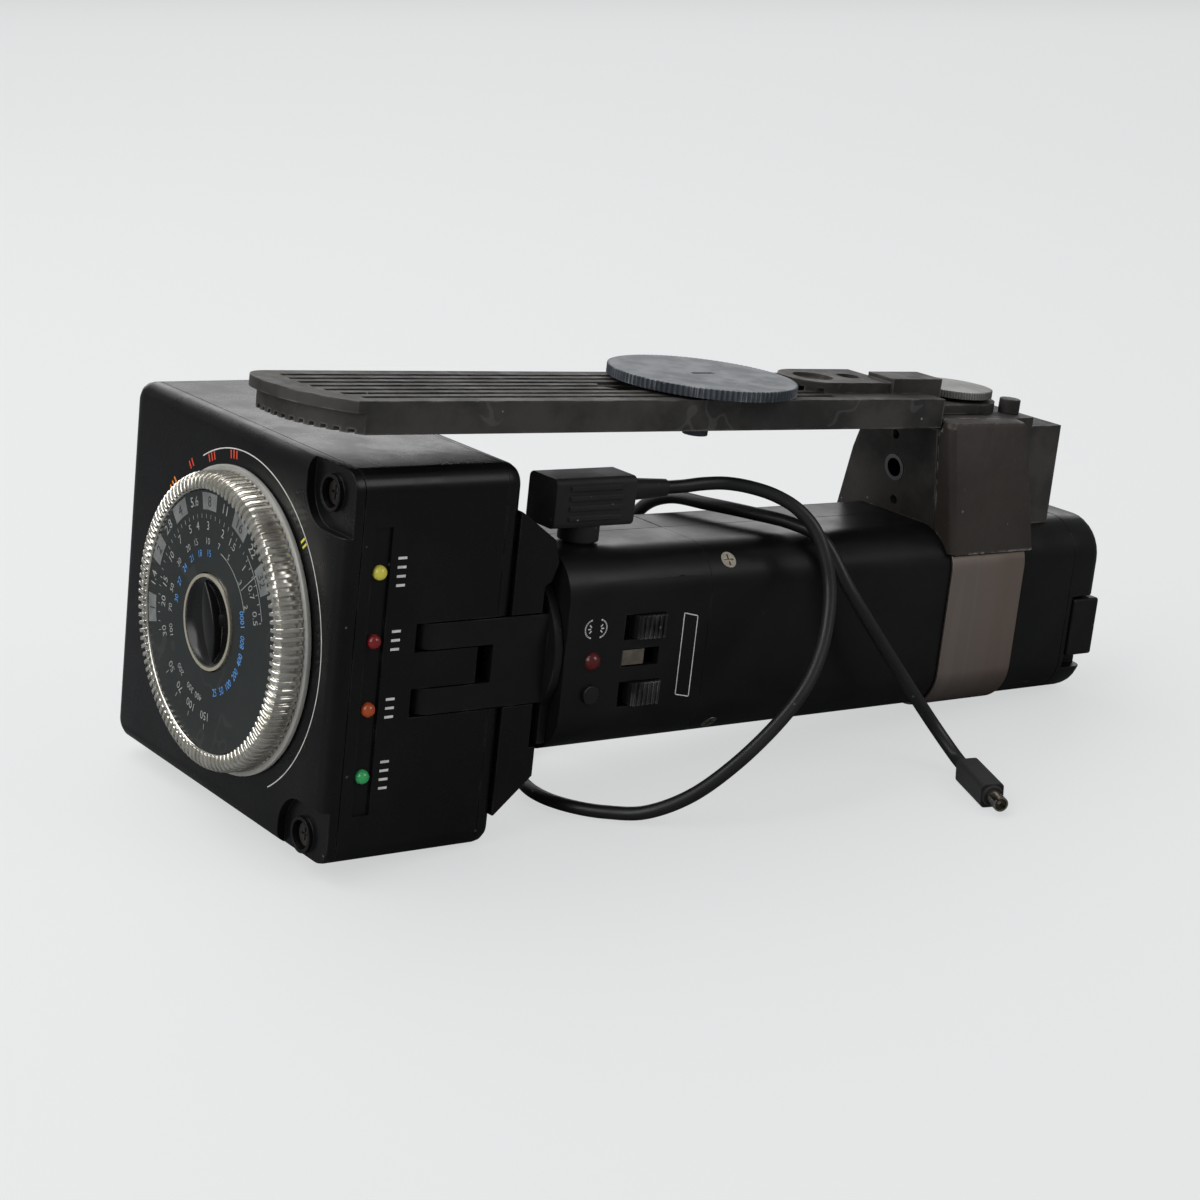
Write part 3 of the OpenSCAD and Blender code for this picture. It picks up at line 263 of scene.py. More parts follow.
def makeSurface(name, **changes):
    look = dict(plainLook, **changes)
    material = bpy.data.materials.new(name)
    material.use_nodes = True
    material.diffuse_color = (*look["colour"], 1)
    tree = material.node_tree
    shader = tree.nodes["Principled BSDF"]
    place = addNode(tree, "ShaderNodeTexCoord")
    turned = addNode(tree, "ShaderNodeMapping", [("Vector", place.outputs["Object"])])
    turned.inputs["Rotation"].default_value = (0, -radians(handleLie["tilt"]), 0)
    even = turned.outputs["Vector"]
    pulled = addNode(tree, "ShaderNodeMapping", [("Vector", even)])
    pulled.inputs["Scale"].default_value = look["stretch"]
    vector = pulled.outputs["Vector"]

    mottle = placeEffect(tree, "mottle", vector, Scale=look["toneScale"])
    colour = mixTone(tree, mottle.outputs["Mask"], look["colour"], look["tone"])
    if look["lines"]:
        lines = placeEffect(tree, "scratches", vector)
        colour = mixTone(tree, scaled(tree, lines.outputs["Mask"], look["lines"]), colour, look["linesTone"])
    if look["wear"]:
        wear = placeEffect(tree, "wear", even, Radius=look["wearRadius"], Patch=look["wearPatch"])
        colour = mixTone(tree, scaled(tree, wear.outputs["Mask"], look["wear"]), colour, look["wearTone"])
    if look["dust"]:
        dust = placeEffect(tree, "specks", even, Scale=look["dustScale"], Share=look["dustShare"])
        colour = mixTone(tree, scaled(tree, dust.outputs["Mask"], look["dust"]), colour, look["dustTone"])
    tree.links.new(colour, shader.inputs["Base Color"])

    smear = placeEffect(tree, "mottle", vector, Scale=look["toneScale"] * look["smearScale"])
    rough = addNode(tree, "ShaderNodeMapRange", [("Value", smear.outputs["Mask"]),
                                                 ("To Min", look["rough"][0]), ("To Max", look["rough"][1])])
    tree.links.new(rough.outputs["Result"], shader.inputs["Roughness"])
    if look["bump"]:
        grain = placeEffect(tree, "grain", vector, Scale=look["grain"], Pebble=look["pebble"])
        bump = addNode(tree, "ShaderNodeBump", [("Height", grain.outputs["Height"]),
                                                ("Strength", look["bump"]), ("Distance", look["depth"])])
        tree.links.new(bump.outputs["Normal"], shader.inputs["Normal"])
    shader.inputs["Metallic"].default_value = look["metal"]
    shader.inputs["Specular IOR Level"].default_value = look["level"]
    shader.inputs["IOR"].default_value = look["bend"]
    shader.inputs["Coat Weight"].default_value = look["coat"]
    shader.inputs["Coat Roughness"].default_value = look["coatRough"]
    shader.inputs["Transmission Weight"].default_value = look["clear"]
    shader.inputs["Sheen Weight"].default_value = look["sheen"]
    return material


# What the indicator lamps share, and what the prints share
lampShine = dict(rough=(0.1, 0.16), bump=0.0, dust=0.0, coat=0.4, clear=0.15)
printMatt = dict(bump=0.02, dust=0.0)

finishLook = {
    "headBlack": dict(
        colour=(0.0038, 0.0038, 0.0042), tone=(0.006, 0.006, 0.0064), rough=(0.24, 0.33), dust=0.35,
        dustShare=0.05, wear=0.3, wearTone=(0.06, 0.058, 0.055), level=0.3, bump=0.08),
    "gripBlack": dict(
        colour=(0.0042, 0.0042, 0.0046), tone=(0.0068, 0.0068, 0.0072), rough=(0.28, 0.37), dust=0.35,
        dustShare=0.06, wear=0.25, wearTone=(0.06, 0.058, 0.055), level=0.3, bump=0.1),
    "collarBlack": dict(
        colour=(0.0055, 0.0055, 0.006), tone=(0.009, 0.009, 0.009), rough=(0.35, 0.46), wear=0.35,
        wearTone=(0.07, 0.07, 0.07), dust=0.4, level=0.3, bump=0.14),
    "castGrey": dict(
        colour=(0.019, 0.0175, 0.0165), tone=(0.045, 0.041, 0.037), toneScale=55.0, rough=(0.5, 0.68),
        grain=700.0, bump=0.3, depth=0.00012, wear=0.6, wearTone=(0.2, 0.19, 0.175), wearRadius=0.0008,
        dust=0.7, dustShare=0.16, lines=0.2, level=0.45),
    "grainedCover": dict(
        colour=(0.024, 0.018, 0.015), tone=(0.034, 0.027, 0.0225), toneScale=25.0, rough=(0.45, 0.58),
        grain=520.0, pebble=0.9, bump=0.35, depth=0.0002, wear=0.9, wearTone=(0.36, 0.34, 0.32),
        wearRadius=0.0012, wearPatch=420.0, dust=0.35),
    # The band's warm copper colour and tone are a painted reflection: the orange sheen its brushed steel
    # shows is painted in as the metal's own tint.
    "brushedBand": dict(
        colour=(0.42, 0.3, 0.235), tone=(0.46, 0.38, 0.335), toneScale=24.0, rough=(0.3, 0.42), metal=1.0,
        stretch=(1.0, 0.06, 0.06), grain=1500.0, pebble=0.0, bump=0.25, depth=0.00005, dust=0.3,
        dustShare=0.08, lines=0.12, linesTone=(0.62, 0.58, 0.54)),
    "wheelBlue": dict(
        colour=(0.04, 0.048, 0.058), tone=(0.07, 0.08, 0.092), toneScale=60.0, rough=(0.36, 0.48),
        metal=0.35, wear=0.9, wearTone=(0.5, 0.52, 0.54), wearRadius=0.0005, grain=900.0, bump=0.2,
        dust=0.6, dustShare=0.2),
    "wheelGrey": dict(
        colour=(0.15, 0.15, 0.145), tone=(0.23, 0.225, 0.21), toneScale=60.0, rough=(0.4, 0.52), metal=0.5,
        wear=0.6, wearTone=(0.5, 0.49, 0.46), bump=0.15),
    "darkSteel": dict(
        colour=(0.2, 0.2, 0.2), tone=(0.3, 0.29, 0.27), rough=(0.3, 0.42), metal=1.0, bump=0.08, dust=0.2),
    "nickel": dict(
        colour=(0.5, 0.47, 0.41), tone=(0.62, 0.59, 0.53), rough=(0.18, 0.3), metal=1.0, bump=0.06,
        dust=0.15),
    "brassScrew": dict(
        colour=(0.45, 0.41, 0.33), tone=(0.6, 0.56, 0.48), rough=(0.25, 0.4), metal=1.0, bump=0.1, wear=0.5,
        wearTone=(0.75, 0.72, 0.65)),
    "blackScrew": dict(
        colour=(0.05, 0.047, 0.043), tone=(0.12, 0.11, 0.1), rough=(0.3, 0.45), metal=0.8, bump=0.1),
    "softRubber": dict(
        colour=(0.0075, 0.0075, 0.008), tone=(0.013, 0.0125, 0.012), rough=(0.5, 0.64), bump=0.15, dust=0.6,
        dustShare=0.14, sheen=0.08, level=0.4),
    "leadRubber": dict(
        colour=(0.009, 0.0092, 0.0098), tone=(0.014, 0.014, 0.0145), rough=(0.34, 0.46), bump=0.1,
        dust=0.35, level=0.5),
    "scalePlate": dict(
        colour=(0.0095, 0.0125, 0.0115), tone=(0.013, 0.0165, 0.015), rough=(0.3, 0.38), bump=0.03,
        dust=0.35, dustShare=0.06, coat=0.35, coatRough=0.12, lines=0.08),
    "clearRing": dict(
        colour=(0.93, 0.91, 0.85), tone=(0.82, 0.79, 0.7), rough=(0.05, 0.12), clear=0.82, bend=1.49,
        bump=0.0, dust=0.0, toneScale=90.0),
    "clearFlange": dict(
        colour=(0.34, 0.335, 0.315), tone=(0.46, 0.45, 0.42), rough=(0.12, 0.22), clear=0.3, bend=1.49,
        bump=0.0, dust=0.0),
    "ringSilver": dict(
        colour=(0.6, 0.58, 0.52), tone=(0.78, 0.76, 0.7), toneScale=160.0, rough=(0.12, 0.22), metal=0.85,
        bump=0.06, dust=0.0),
    "knobBlack": dict(
        colour=(0.005, 0.005, 0.0053), tone=(0.008, 0.008, 0.0083), rough=(0.2, 0.28), bump=0.05, wear=0.5,
        wearTone=(0.3, 0.29, 0.27), dust=0.3, wearRadius=0.0004),
    "knobRim": dict(
        colour=(0.66, 0.61, 0.48), tone=(0.78, 0.74, 0.62), rough=(0.2, 0.32), metal=0.75, bump=0.08,
        dust=0.2),
    "lampYellow": dict(lampShine, colour=(0.62, 0.56, 0.06), tone=(0.7, 0.64, 0.12)),
    "lampRed": dict(lampShine, colour=(0.2, 0.012, 0.014), tone=(0.26, 0.02, 0.02)),
    "lampOrange": dict(lampShine, colour=(0.38, 0.06, 0.015), tone=(0.44, 0.09, 0.03)),
    "lampGreen": dict(lampShine, colour=(0.02, 0.3, 0.08), tone=(0.04, 0.38, 0.12)),
    "readyRed": dict(
        colour=(0.06, 0.005, 0.006), tone=(0.085, 0.008, 0.008), rough=(0.14, 0.22), bump=0.0, dust=0.1,
        coat=0.3, clear=0.1),
    "switchBlack": dict(
        colour=(0.007, 0.007, 0.0073), tone=(0.011, 0.011, 0.011), rough=(0.3, 0.4), wear=0.7,
        wearTone=(0.3, 0.29, 0.27), wearRadius=0.0004, dust=0.5),
    "switchBrown": dict(
        colour=(0.075, 0.062, 0.048), tone=(0.12, 0.1, 0.078), rough=(0.28, 0.4), dust=0.3, bump=0.06,
        toneScale=260.0),
    "lensClear": dict(
        colour=(0.93, 0.94, 0.94), tone=(0.96, 0.96, 0.96), rough=(0.04, 0.1), clear=0.9, bend=1.49,
        bump=0.0, dust=0.0),
    "mirrorMetal": dict(
        colour=(0.8, 0.81, 0.82), tone=(0.86, 0.86, 0.86), rough=(0.08, 0.16), metal=1.0, bump=0.02,
        dust=0.0),
    "tubeGlass": dict(
        colour=(0.95, 0.96, 0.97), tone=(0.98, 0.98, 0.98), rough=(0.02, 0.06), clear=0.85, bend=1.46,
        bump=0.0, dust=0.0),
    "coilCopper": dict(
        colour=(0.42, 0.18, 0.09), tone=(0.55, 0.27, 0.14), rough=(0.3, 0.42), metal=0.8,
        stretch=(0.1, 0.1, 8.0), grain=300.0, bump=0.4),
    "darkWindow": dict(
        colour=(0.02, 0.022, 0.03), tone=(0.03, 0.03, 0.042), rough=(0.06, 0.1), coat=0.6, coatRough=0.05,
        bump=0.0, dust=0.2),
    "boardGreen": dict(
        colour=(0.02, 0.12, 0.05), tone=(0.04, 0.2, 0.09), toneScale=140.0, rough=(0.3, 0.42), bump=0.08),
    "canBlue": dict(
        colour=(0.02, 0.045, 0.12), tone=(0.03, 0.06, 0.15), rough=(0.25, 0.36), bump=0.04, coat=0.2),
    "basketGrey": dict(
        colour=(0.05, 0.05, 0.053), tone=(0.075, 0.075, 0.078), rough=(0.42, 0.55), bump=0.18),
    "cellSleeve": dict(
        colour=(0.13, 0.17, 0.22), tone=(0.17, 0.21, 0.26), rough=(0.25, 0.35), metal=0.3, bump=0.03),
    "springSteel": dict(
        colour=(0.6, 0.6, 0.6), tone=(0.72, 0.72, 0.72), rough=(0.18, 0.28), metal=1.0, bump=0.05),
    "whitePrint": dict(
        colour=(0.62, 0.62, 0.6), tone=(0.48, 0.48, 0.46), rough=(0.45, 0.55), toneScale=420.0, bump=0.03,
        dust=0.0),
    "scalePrint": dict(
        printMatt, colour=(0.3, 0.31, 0.3), tone=(0.2, 0.21, 0.2), rough=(0.4, 0.5), toneScale=300.0),
    "greyPrint": dict(
        printMatt, colour=(0.17, 0.18, 0.175), tone=(0.12, 0.127, 0.125), rough=(0.4, 0.5),
        toneScale=200.0),
    "darkPrint": dict(printMatt, colour=(0.03, 0.033, 0.033), tone=(0.04, 0.042, 0.042), rough=(0.4, 0.5)),
    "bluePrint": dict(
        printMatt, colour=(0.09, 0.28, 0.62), tone=(0.06, 0.2, 0.48), rough=(0.4, 0.5), toneScale=350.0),
    "greenPrint": dict(printMatt, colour=(0.07, 0.5, 0.13), tone=(0.05, 0.4, 0.1), rough=(0.45, 0.55)),
    "orangePrint": dict(printMatt, colour=(0.8, 0.25, 0.03), tone=(0.7, 0.2, 0.02), rough=(0.45, 0.55)),
    "redPrint": dict(printMatt, colour=(0.62, 0.07, 0.03), tone=(0.52, 0.05, 0.025), rough=(0.45, 0.55)),
    "yellowPrint": dict(printMatt, colour=(0.72, 0.68, 0.06), tone=(0.62, 0.58, 0.05), rough=(0.45, 0.55)),
}
finish = {name: makeSurface(name, **look) for name, look in finishLook.items()}
print("finishes made:", len(finish))


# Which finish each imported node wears
nodeFinish = {
    "dial_cover": "headBlack", "head_shell": "headBlack", "rear_cover": "headBlack",
    "front_lens": "lensClear", "reflector": "mirrorMetal", "flash_tube": "tubeGlass",
    "tube_holders": "darkSteel", "trigger_coil": "coilCopper", "corner_screws": "blackScrew",
    "tilt_pin": "darkSteel", "lamp_yellow": "lampYellow", "lamp_red": "lampRed",
    "lamp_orange": "lampOrange", "lamp_green": "lampGreen", "dial_spindle": "darkSteel",
    "dial_ring": "clearRing", "scale_disc": "scalePlate", "film_knob": "knobBlack",
    "knob_trim": "knobRim", "neck_fork": "collarBlack", "swivel_ring": "darkSteel",
    "control_front": "gripBlack", "control_back": "gripBlack", "battery_front": "gripBlack",
    "battery_back": "gripBlack", "housing_screws": "brassScrew", "ready_lamp": "readyRed",
    "test_button": "knobBlack", "power_switch": "switchBlack", "mode_switch": "switchBlack",
    "winder_switch": "switchBrown", "sensor_window": "darkWindow", "circuit_board": "boardGreen",
    "capacitor": "canBlue", "end_cap": "gripBlack", "cap_latch": "collarBlack",
    "cell_basket": "basketGrey", "cells": "cellSleeve", "cell_springs": "springSteel",
    "steel_band": "brushedBand", "foot_body": "castGrey", "foot_cover": "grainedCover",
    "thread_insert": "darkSteel", "foot_stub": "castGrey", "rail": "castGrey",
    "camera_wheel": "wheelBlue", "slot_washer": "darkSteel", "thumb_wheel": "wheelGrey",
    "sync_socket": "collarBlack", "plug_block": "softRubber", "plug_collar": "softRubber",
    "strain_relief": "softRubber", "sync_lead": "leadRubber", "tip_sleeve": "softRubber",
    "tip_contact": "nickel",
}
for nodeName, finishName in nodeFinish.items():
    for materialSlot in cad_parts[nodeName].material_slots:
        materialSlot.material = finish[finishName]


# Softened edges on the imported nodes, made by modifiers so that their meshes stay as they are
edgeSoftening = {"weld": 0.00001, "flat": 0.7, "turn": 32.0, "segments": 2}


def makeSmoothShading(turn):
    group = bpy.data.node_groups.new("smoothShading", "GeometryNodeTree")
    group.interface.new_socket(name="Geometry", in_out="INPUT", socket_type="NodeSocketGeometry")
    group.interface.new_socket(name="Geometry", in_out="OUTPUT", socket_type="NodeSocketGeometry")
    start = group.nodes.new("NodeGroupInput")
    end = group.nodes.new("NodeGroupOutput")
    plain = addNode(group, "GeometryNodeRemoveAttribute", [("Geometry", start.outputs[0]),
                                                           ("Name", "custom_normal")])
    faces = addNode(group, "GeometryNodeSetShadeSmooth", [("Geometry", plain.outputs[0]),
                                                          ("Shade Smooth", True)])
    angle = addNode(group, "GeometryNodeInputMeshEdgeAngle")
    gentle = addNode(group, "ShaderNodeMath", [(0, angle.outputs["Unsigned Angle"]), (1, radians(turn))],
                     operation="LESS_THAN")
    edges = addNode(group, "GeometryNodeSetShadeSmooth", [("Geometry", faces.outputs[0]),
                                                          ("Shade Smooth", gentle.outputs[0])], domain="EDGE")
    group.links.new(edges.outputs[0], end.inputs[0])
    return group


smoothShading = makeSmoothShading(edgeSoftening["turn"])


def softenNode(node, width):
    weld = node.modifiers.new("weld", "WELD")
    weld.merge_threshold = edgeSoftening["weld"]
    merge = node.modifiers.new("mergeFlat", "DECIMATE")
    merge.decimate_type = "DISSOLVE"
    merge.angle_limit = radians(edgeSoftening["flat"])
    shading = node.modifiers.new("smoothShading", "NODES")
    shading.node_group = smoothShading
    bevel = node.modifiers.new("softEdge", "BEVEL")
    bevel.width = width
    bevel.segments = edgeSoftening["segments"]
    bevel.limit_method = "ANGLE"
    bevel.angle_limit = radians(edgeSoftening["turn"])
    bevel.harden_normals = True


softWidth = {
    "rail": 0.0004, "foot_body": 0.0005, "foot_cover": 0.0005, "foot_stub": 0.0003, "plug_block": 0.0004,
    "neck_fork": 0.0003, "cap_latch": 0.0004, "dial_cover": 0.0003, "head_shell": 0.0002,
    "rear_cover": 0.0003, "steel_band": 0.0002, "camera_wheel": 0.00015, "thumb_wheel": 0.00015,
    "tip_sleeve": 0.0003, "control_front": 0.0003, "control_back": 0.0003, "battery_front": 0.0003,
    "battery_back": 0.0003, "end_cap": 0.0003, "film_knob": 0.00015, "power_switch": 0.0001,
    "mode_switch": 0.0001, "winder_switch": 0.0001,
}
for nodeName, width in softWidth.items():
    softenNode(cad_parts[nodeName], width)
print("packed nodes dressed")


# Modelling helpers. Everything is deselected before each selection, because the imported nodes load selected.
def pickNothing():
    bpy.ops.object.select_all(action="DESELECT")


def editPiece(piece):
    pickNothing()
    piece.select_set(True)
    bpy.context.view_layer.objects.active = piece
    bpy.ops.object.mode_set(mode="EDIT")
    bpy.ops.mesh.select_all(action="DESELECT")


def leaveEdit():
    bpy.ops.object.mode_set(mode="OBJECT")


# Selects the faces whose middle and normal pass the test, in the edit mode of the active piece
def pickFaces(piece, test):
    bpy.ops.mesh.select_mode(type="FACE")
    shape = bmesh.from_edit_mesh(piece.data)
    shape.normal_update()
    for face in shape.faces:
        face.select_set(bool(test(face.calc_center_median(), face.normal)))
    shape.select_flush_mode()
    bmesh.update_edit_mesh(piece.data)


# Puts a piece that was modelled along the handle's own axes where it lies, with its object at the origin
def layPiece(piece, name, body, finishName, turn=32.0):
    pickNothing()
    piece.name = name
    piece.data.name = name
    piece.matrix_world = layMatrix @ piece.matrix_world
    bpy.context.view_layer.update()
    piece.data.transform(piece.matrix_world)
    piece.matrix_world = Matrix.Identity(4)
    piece.data.materials.clear()
    piece.data.materials.append(finish[finishName])
    piece.select_set(True)
    bpy.context.view_layer.objects.active = piece
    bpy.ops.object.shade_smooth_by_angle(angle=radians(turn))
    pickNothing()
    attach(piece, body)


# A small plane merged into one vertex at a place, which stays picked in edit mode for extruding and spinning
def startPoint(place):
    pickNothing()
    bpy.ops.mesh.primitive_plane_add(size=mm, location=Vector(place) * mm)
    piece = bpy.context.object
    bpy.ops.object.transform_apply(location=True, rotation=True, scale=True)
    editPiece(piece)
    bpy.ops.mesh.select_mode(type="VERT")
    bpy.ops.mesh.select_all(action="SELECT")
    bpy.ops.mesh.merge(type="CENTER")
    return piece


# How near points are welded after a spin, in millimetres
weldGap = {"turned": 0.002, "arc": 0.0005, "grip": 0.01}


# A turned piece: one vertex is extruded along the profile and spun round an axis along a, through (d, u).
# The profile is a list of (a, radius) in millimetres.
def turnProfile(profile, d, u, steps):
    piece = startPoint((profile[0][0], d, u + profile[0][1]))
    for before, after in zip(profile, profile[1:]):
        step = Vector((after[0] - before[0], 0, after[1] - before[1])) * mm
        bpy.ops.mesh.extrude_region_move(TRANSFORM_OT_translate={"value": step})
    bpy.ops.mesh.select_all(action="SELECT")
    bpy.ops.mesh.spin(steps=steps, angle=2 * pi, center=Vector((0, d, u)) * mm, axis=(1, 0, 0))
    bpy.ops.mesh.select_all(action="SELECT")
    bpy.ops.mesh.remove_doubles(threshold=mm * weldGap["turned"])
    bpy.ops.mesh.normals_make_consistent(inside=False)
    bpy.ops.mesh.select_all(action="DESELECT")
    return piece


def applyModifiers(piece):
    pickNothing()
    piece.select_set(True)
    bpy.context.view_layer.objects.active = piece
    for modifier in list(piece.modifiers):
        bpy.ops.object.modifier_apply(modifier=modifier.name)


def bevelPiece(piece, width, segments=2, turn=32.0):
    bevel = piece.modifiers.new("bevel", "BEVEL")
    bevel.width = width * mm
    bevel.segments = segments
    bevel.limit_method = "ANGLE"
    bevel.angle_limit = radians(turn)
    applyModifiers(piece)


def joinPieces(pieces):
    pickNothing()
    for piece in pieces:
        piece.select_set(True)
    bpy.context.view_layer.objects.active = pieces[0]
    bpy.ops.object.join()
    return pieces[0]


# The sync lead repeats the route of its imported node
syncLead = {
    "thick": 3.4,
    # Along the handle's axes, inside and at the strain relief
    "start": ((93.0, 10.75, 82.3), (96.8, 10.75, 82.3)),
    # In the frame, millimetres
    "route": ((-9, -38, 75.5), (-3.5, -39, 75.5), (2, -41, 75.2), (6.5, -45, 74.4), (10.5, -49.5, 72.8),
              (13.8, -54, 70), (16.2, -58, 65.5), (17.2, -61, 59.5), (17, -63.5, 52.5), (14.8, -66, 45.5),
              (10.8, -68.5, 38), (4.5, -70.5, 30.5), (-4.5, -71, 23), (-16, -70, 15), (-26.5, -66.5, 8),
              (-35, -60, 3.4), (-41, -52, 2), (-46, -44.5, 2), (-48.5, -35.5, 2), (-47.5, -26, 2),
              (-42.5, -16.5, 2), (-35, -8, 2.4), (-26.5, -2.5, 7.5), (-17.5, -0.5, 19), (-9, -0.5, 35),
              (-2.5, -2, 49), (2, -6, 60), (6, -13, 64.2), (10.5, -23, 64.2), (16, -34, 63.6),
              (21, -44, 62.6), (24.5, -52, 59.5), (27.5, -59.5, 48), (34.5, -63.5, 35), (42, -66.5, 22.5),
              (49, -69, 11.5), (51.2, -74.5, 5)),
    "tip": (49, -82.5, 3.2), "tipTurn": -112.7, "tipBehind": 3.6, "tipAhead": 2.8,
    "roundSteps": 4, "longSteps": 8,
    "length": 0.4,  # metres
}


def makeLead(lead):
    way = Vector((cos(radians(lead["tipTurn"])), sin(radians(lead["tipTurn"])), 0))
    tip = Vector(lead["tip"])
    points = [laidPoint(*p) for p in lead["start"]] + [Vector(p) * mm for p in lead["route"]]
    points += [(tip - way * lead["tipBehind"]) * mm, (tip + way * lead["tipAhead"]) * mm]
    curve = bpy.data.curves.new("syncLead", "CURVE")
    curve.dimensions = "3D"
    curve.bevel_depth = lead["thick"] / 2 * mm
    curve.bevel_resolution = lead["roundSteps"]
    curve.resolution_u = lead["longSteps"]
    curve.use_fill_caps = True
    line = curve.splines.new("BEZIER")
    line.bezier_points.add(len(points) - 1)
    # The handles follow the line between the neighbours, which makes one smooth curve through the points
    for i, (knot, point) in enumerate(zip(line.bezier_points, points)):
        before, after = points[max(i - 1, 0)], points[min(i + 1, len(points) - 1)]
        pull = (after - before) / 6
        knot.co = point
        knot.handle_left_type = knot.handle_right_type = "FREE"
        knot.handle_left = point - pull
        knot.handle_right = point + pull
    piece = bpy.data.objects.new("syncLead", curve)
    bpy.context.scene.collection.objects.link(piece)
    curve.materials.append(finish["leadRubber"])
    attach(piece, "handle")
    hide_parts("sync_lead")


makeLead(syncLead)
print("lead laid")


# The dial's ring: a turned rim with ribs raised on every second strip of its side, and a thin clear flange.
# The ribs lie outside ribRadius and before ribFront.
dial = {"d": 46.0, "u": 46.0, "face": -6.7}
dialRing = {
    "profile": ((-0.4, 30.95), (-0.4, 34.7), (-1.6, 34.75), (-5.7, 34.5), (-6.6, 34.1), (-7.05, 33.4),
                (-7.2, 32.2), (-7.05, 31.3), (-6.75, 30.95), (-0.4, 30.95)),
    "ribs": 108, "rise": 0.8, "ribRadius": 31.6, "ribFront": -1.5, "edge": 0.16,
    "flange": ((-0.35, 34.8), (-0.35, 36.6), (-1.35, 36.6), (-1.5, 36.2), (-1.5, 34.8), (-0.35, 34.8)),
    "flangeSteps": 128, "flangeEdge": 0.15,
}


def makeDialRing(ring):
    piece = turnProfile(ring["profile"], dial["d"], dial["u"], ring["ribs"] * 2)
    step = pi / ring["ribs"]
    middle = Vector((0, dial["d"], dial["u"])) * mm

    def onRib(centre, normal):
        away = centre - middle
        radius = (away.y ** 2 + away.z ** 2) ** 0.5 / mm
        strip = int((atan2(away.z, away.y) % (2 * pi)) / step)
        return strip % 2 == 0 and ring["ribRadius"] < radius and centre.x / mm < ring["ribFront"]

    pickFaces(piece, onRib)
    bpy.ops.mesh.extrude_region_shrink_fatten(TRANSFORM_OT_shrink_fatten={"value": ring["rise"] * mm})
    bpy.ops.mesh.select_all(action="DESELECT")
    leaveEdit()
    bevelPiece(piece, ring["edge"], segments=1, turn=40.0)
    layPiece(piece, "dialRing", "dial", "ringSilver", turn=28.0)
    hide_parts("dial_ring")
    flange = turnProfile(ring["flange"], dial["d"], dial["u"], ring["flangeSteps"])
    leaveEdit()
    bevelPiece(flange, ring["flangeEdge"], turn=40.0)
    layPiece(flange, "dialFlange", "dial", "clearFlange")


makeDialRing(dialRing)
print("dial ring made")


# Prints lie a little above their surface. A print's own x runs along the figure, y up it and z out of the
# face.
printing = {"lift": 0.02, "thick": 0.03, "curveSteps": 3, "textDepth": 0.01}
clockBasis = Matrix(((0, 0, -1, 0), (-1, 0, 0, 0), (0, 1, 0, 0), (0, 0, 0, 1)))
sideBasis = Matrix(((1, 0, 0, 0), (0, 0, -1, 0), (0, 1, 0, 0), (0, 0, 0, 1)))


# A place on a face across the handle's a axis, by clock angle and radius round the dial's middle
def clockPlace(face, angle, radius, inward=False):
    middle = Matrix.Translation(Vector((face - printing["lift"], dial["d"], dial["u"])) * mm)
    turned = Matrix.Rotation(radians(angle), 4, "X") @ Matrix.Translation((0, 0, radius * mm))
    return middle @ turned @ clockBasis @ Matrix.Rotation(pi if inward else 0, 4, "Z")


# A place on a face that looks towards the near side
def sidePlace(a, d, u, turn=0.0):
    middle = Matrix.Translation(Vector((a, d - printing["lift"], u)) * mm)
    return middle @ sideBasis @ Matrix.Rotation(radians(turn), 4, "Z")


# A figure of the built-in font, made a mesh, then set to its height and thickness at its place
def addFigure(figure, high, place, wide=1.0):
    depth = printing["textDepth"]
    pickNothing()
    bpy.ops.object.text_add()
    letters = bpy.context.object
    letters.data.body = figure
    letters.data.resolution_u = printing["curveSteps"]
    letters.data.extrude = depth
    bpy.ops.object.convert(target="MESH")
    piece = bpy.context.object
    across = [v.co.x for v in piece.data.vertices]
    upward = [v.co.y for v in piece.data.vertices]
    rise = high * mm / (max(upward) - min(upward))
    middle = Vector(((min(across) + max(across)) / 2, (min(upward) + max(upward)) / 2, -depth))
    size = Matrix.Diagonal((rise * wide, rise, printing["thick"] * mm / (2 * depth), 1))
    piece.data.transform(place @ size @ Matrix.Translation(-middle))
    return piece


# A stroke is modelled once and copied with its own mesh to each of its places
def addStrokes(wide, high, places):
    pickNothing()
    bpy.ops.mesh.primitive_plane_add(size=mm)
    first = bpy.context.object
    first.data.transform(Matrix.Diagonal((wide, high, 1, 1)))
    editPiece(first)
    bpy.ops.mesh.select_all(action="SELECT")
    bpy.ops.mesh.extrude_region_move(TRANSFORM_OT_translate={"value": (0, 0, printing["thick"] * mm)})
    bpy.ops.mesh.select_all(action="SELECT")
    bpy.ops.mesh.normals_make_consistent(inside=False)
    leaveEdit()
    strokes = []
    for place in places:
        stroke = first.copy()
        stroke.data = first.data.copy()
        bpy.context.scene.collection.objects.link(stroke)
        stroke.data.transform(place)
        strokes.append(stroke)
    bpy.data.objects.remove(first)
    return strokes


# A flat strip of a ring: a vertex is extruded outwards, forwards and back in, and spun round the dial
def addArc(face, low, high, start, sweep, steps):
    piece = startPoint((face - printing["lift"], dial["d"], dial["u"] + low))
    for step in ((0, 0, high - low), (-printing["thick"], 0, 0), (0, 0, low - high)):
        bpy.ops.mesh.extrude_region_move(TRANSFORM_OT_translate={"value": Vector(step) * mm})
    bpy.ops.mesh.select_all(action="SELECT")
    middle = Vector((0, dial["d"], dial["u"])) * mm
    bpy.ops.transform.rotate(value=radians(-start), orient_axis="X", center_override=middle)
    bpy.ops.mesh.spin(steps=steps, angle=-radians(sweep), center=middle, axis=(1, 0, 0))
    bpy.ops.mesh.select_all(action="SELECT")
    bpy.ops.mesh.remove_doubles(threshold=mm * weldGap["arc"])
    bpy.ops.mesh.normals_make_consistent(inside=False)
    leaveEdit()
    return piece


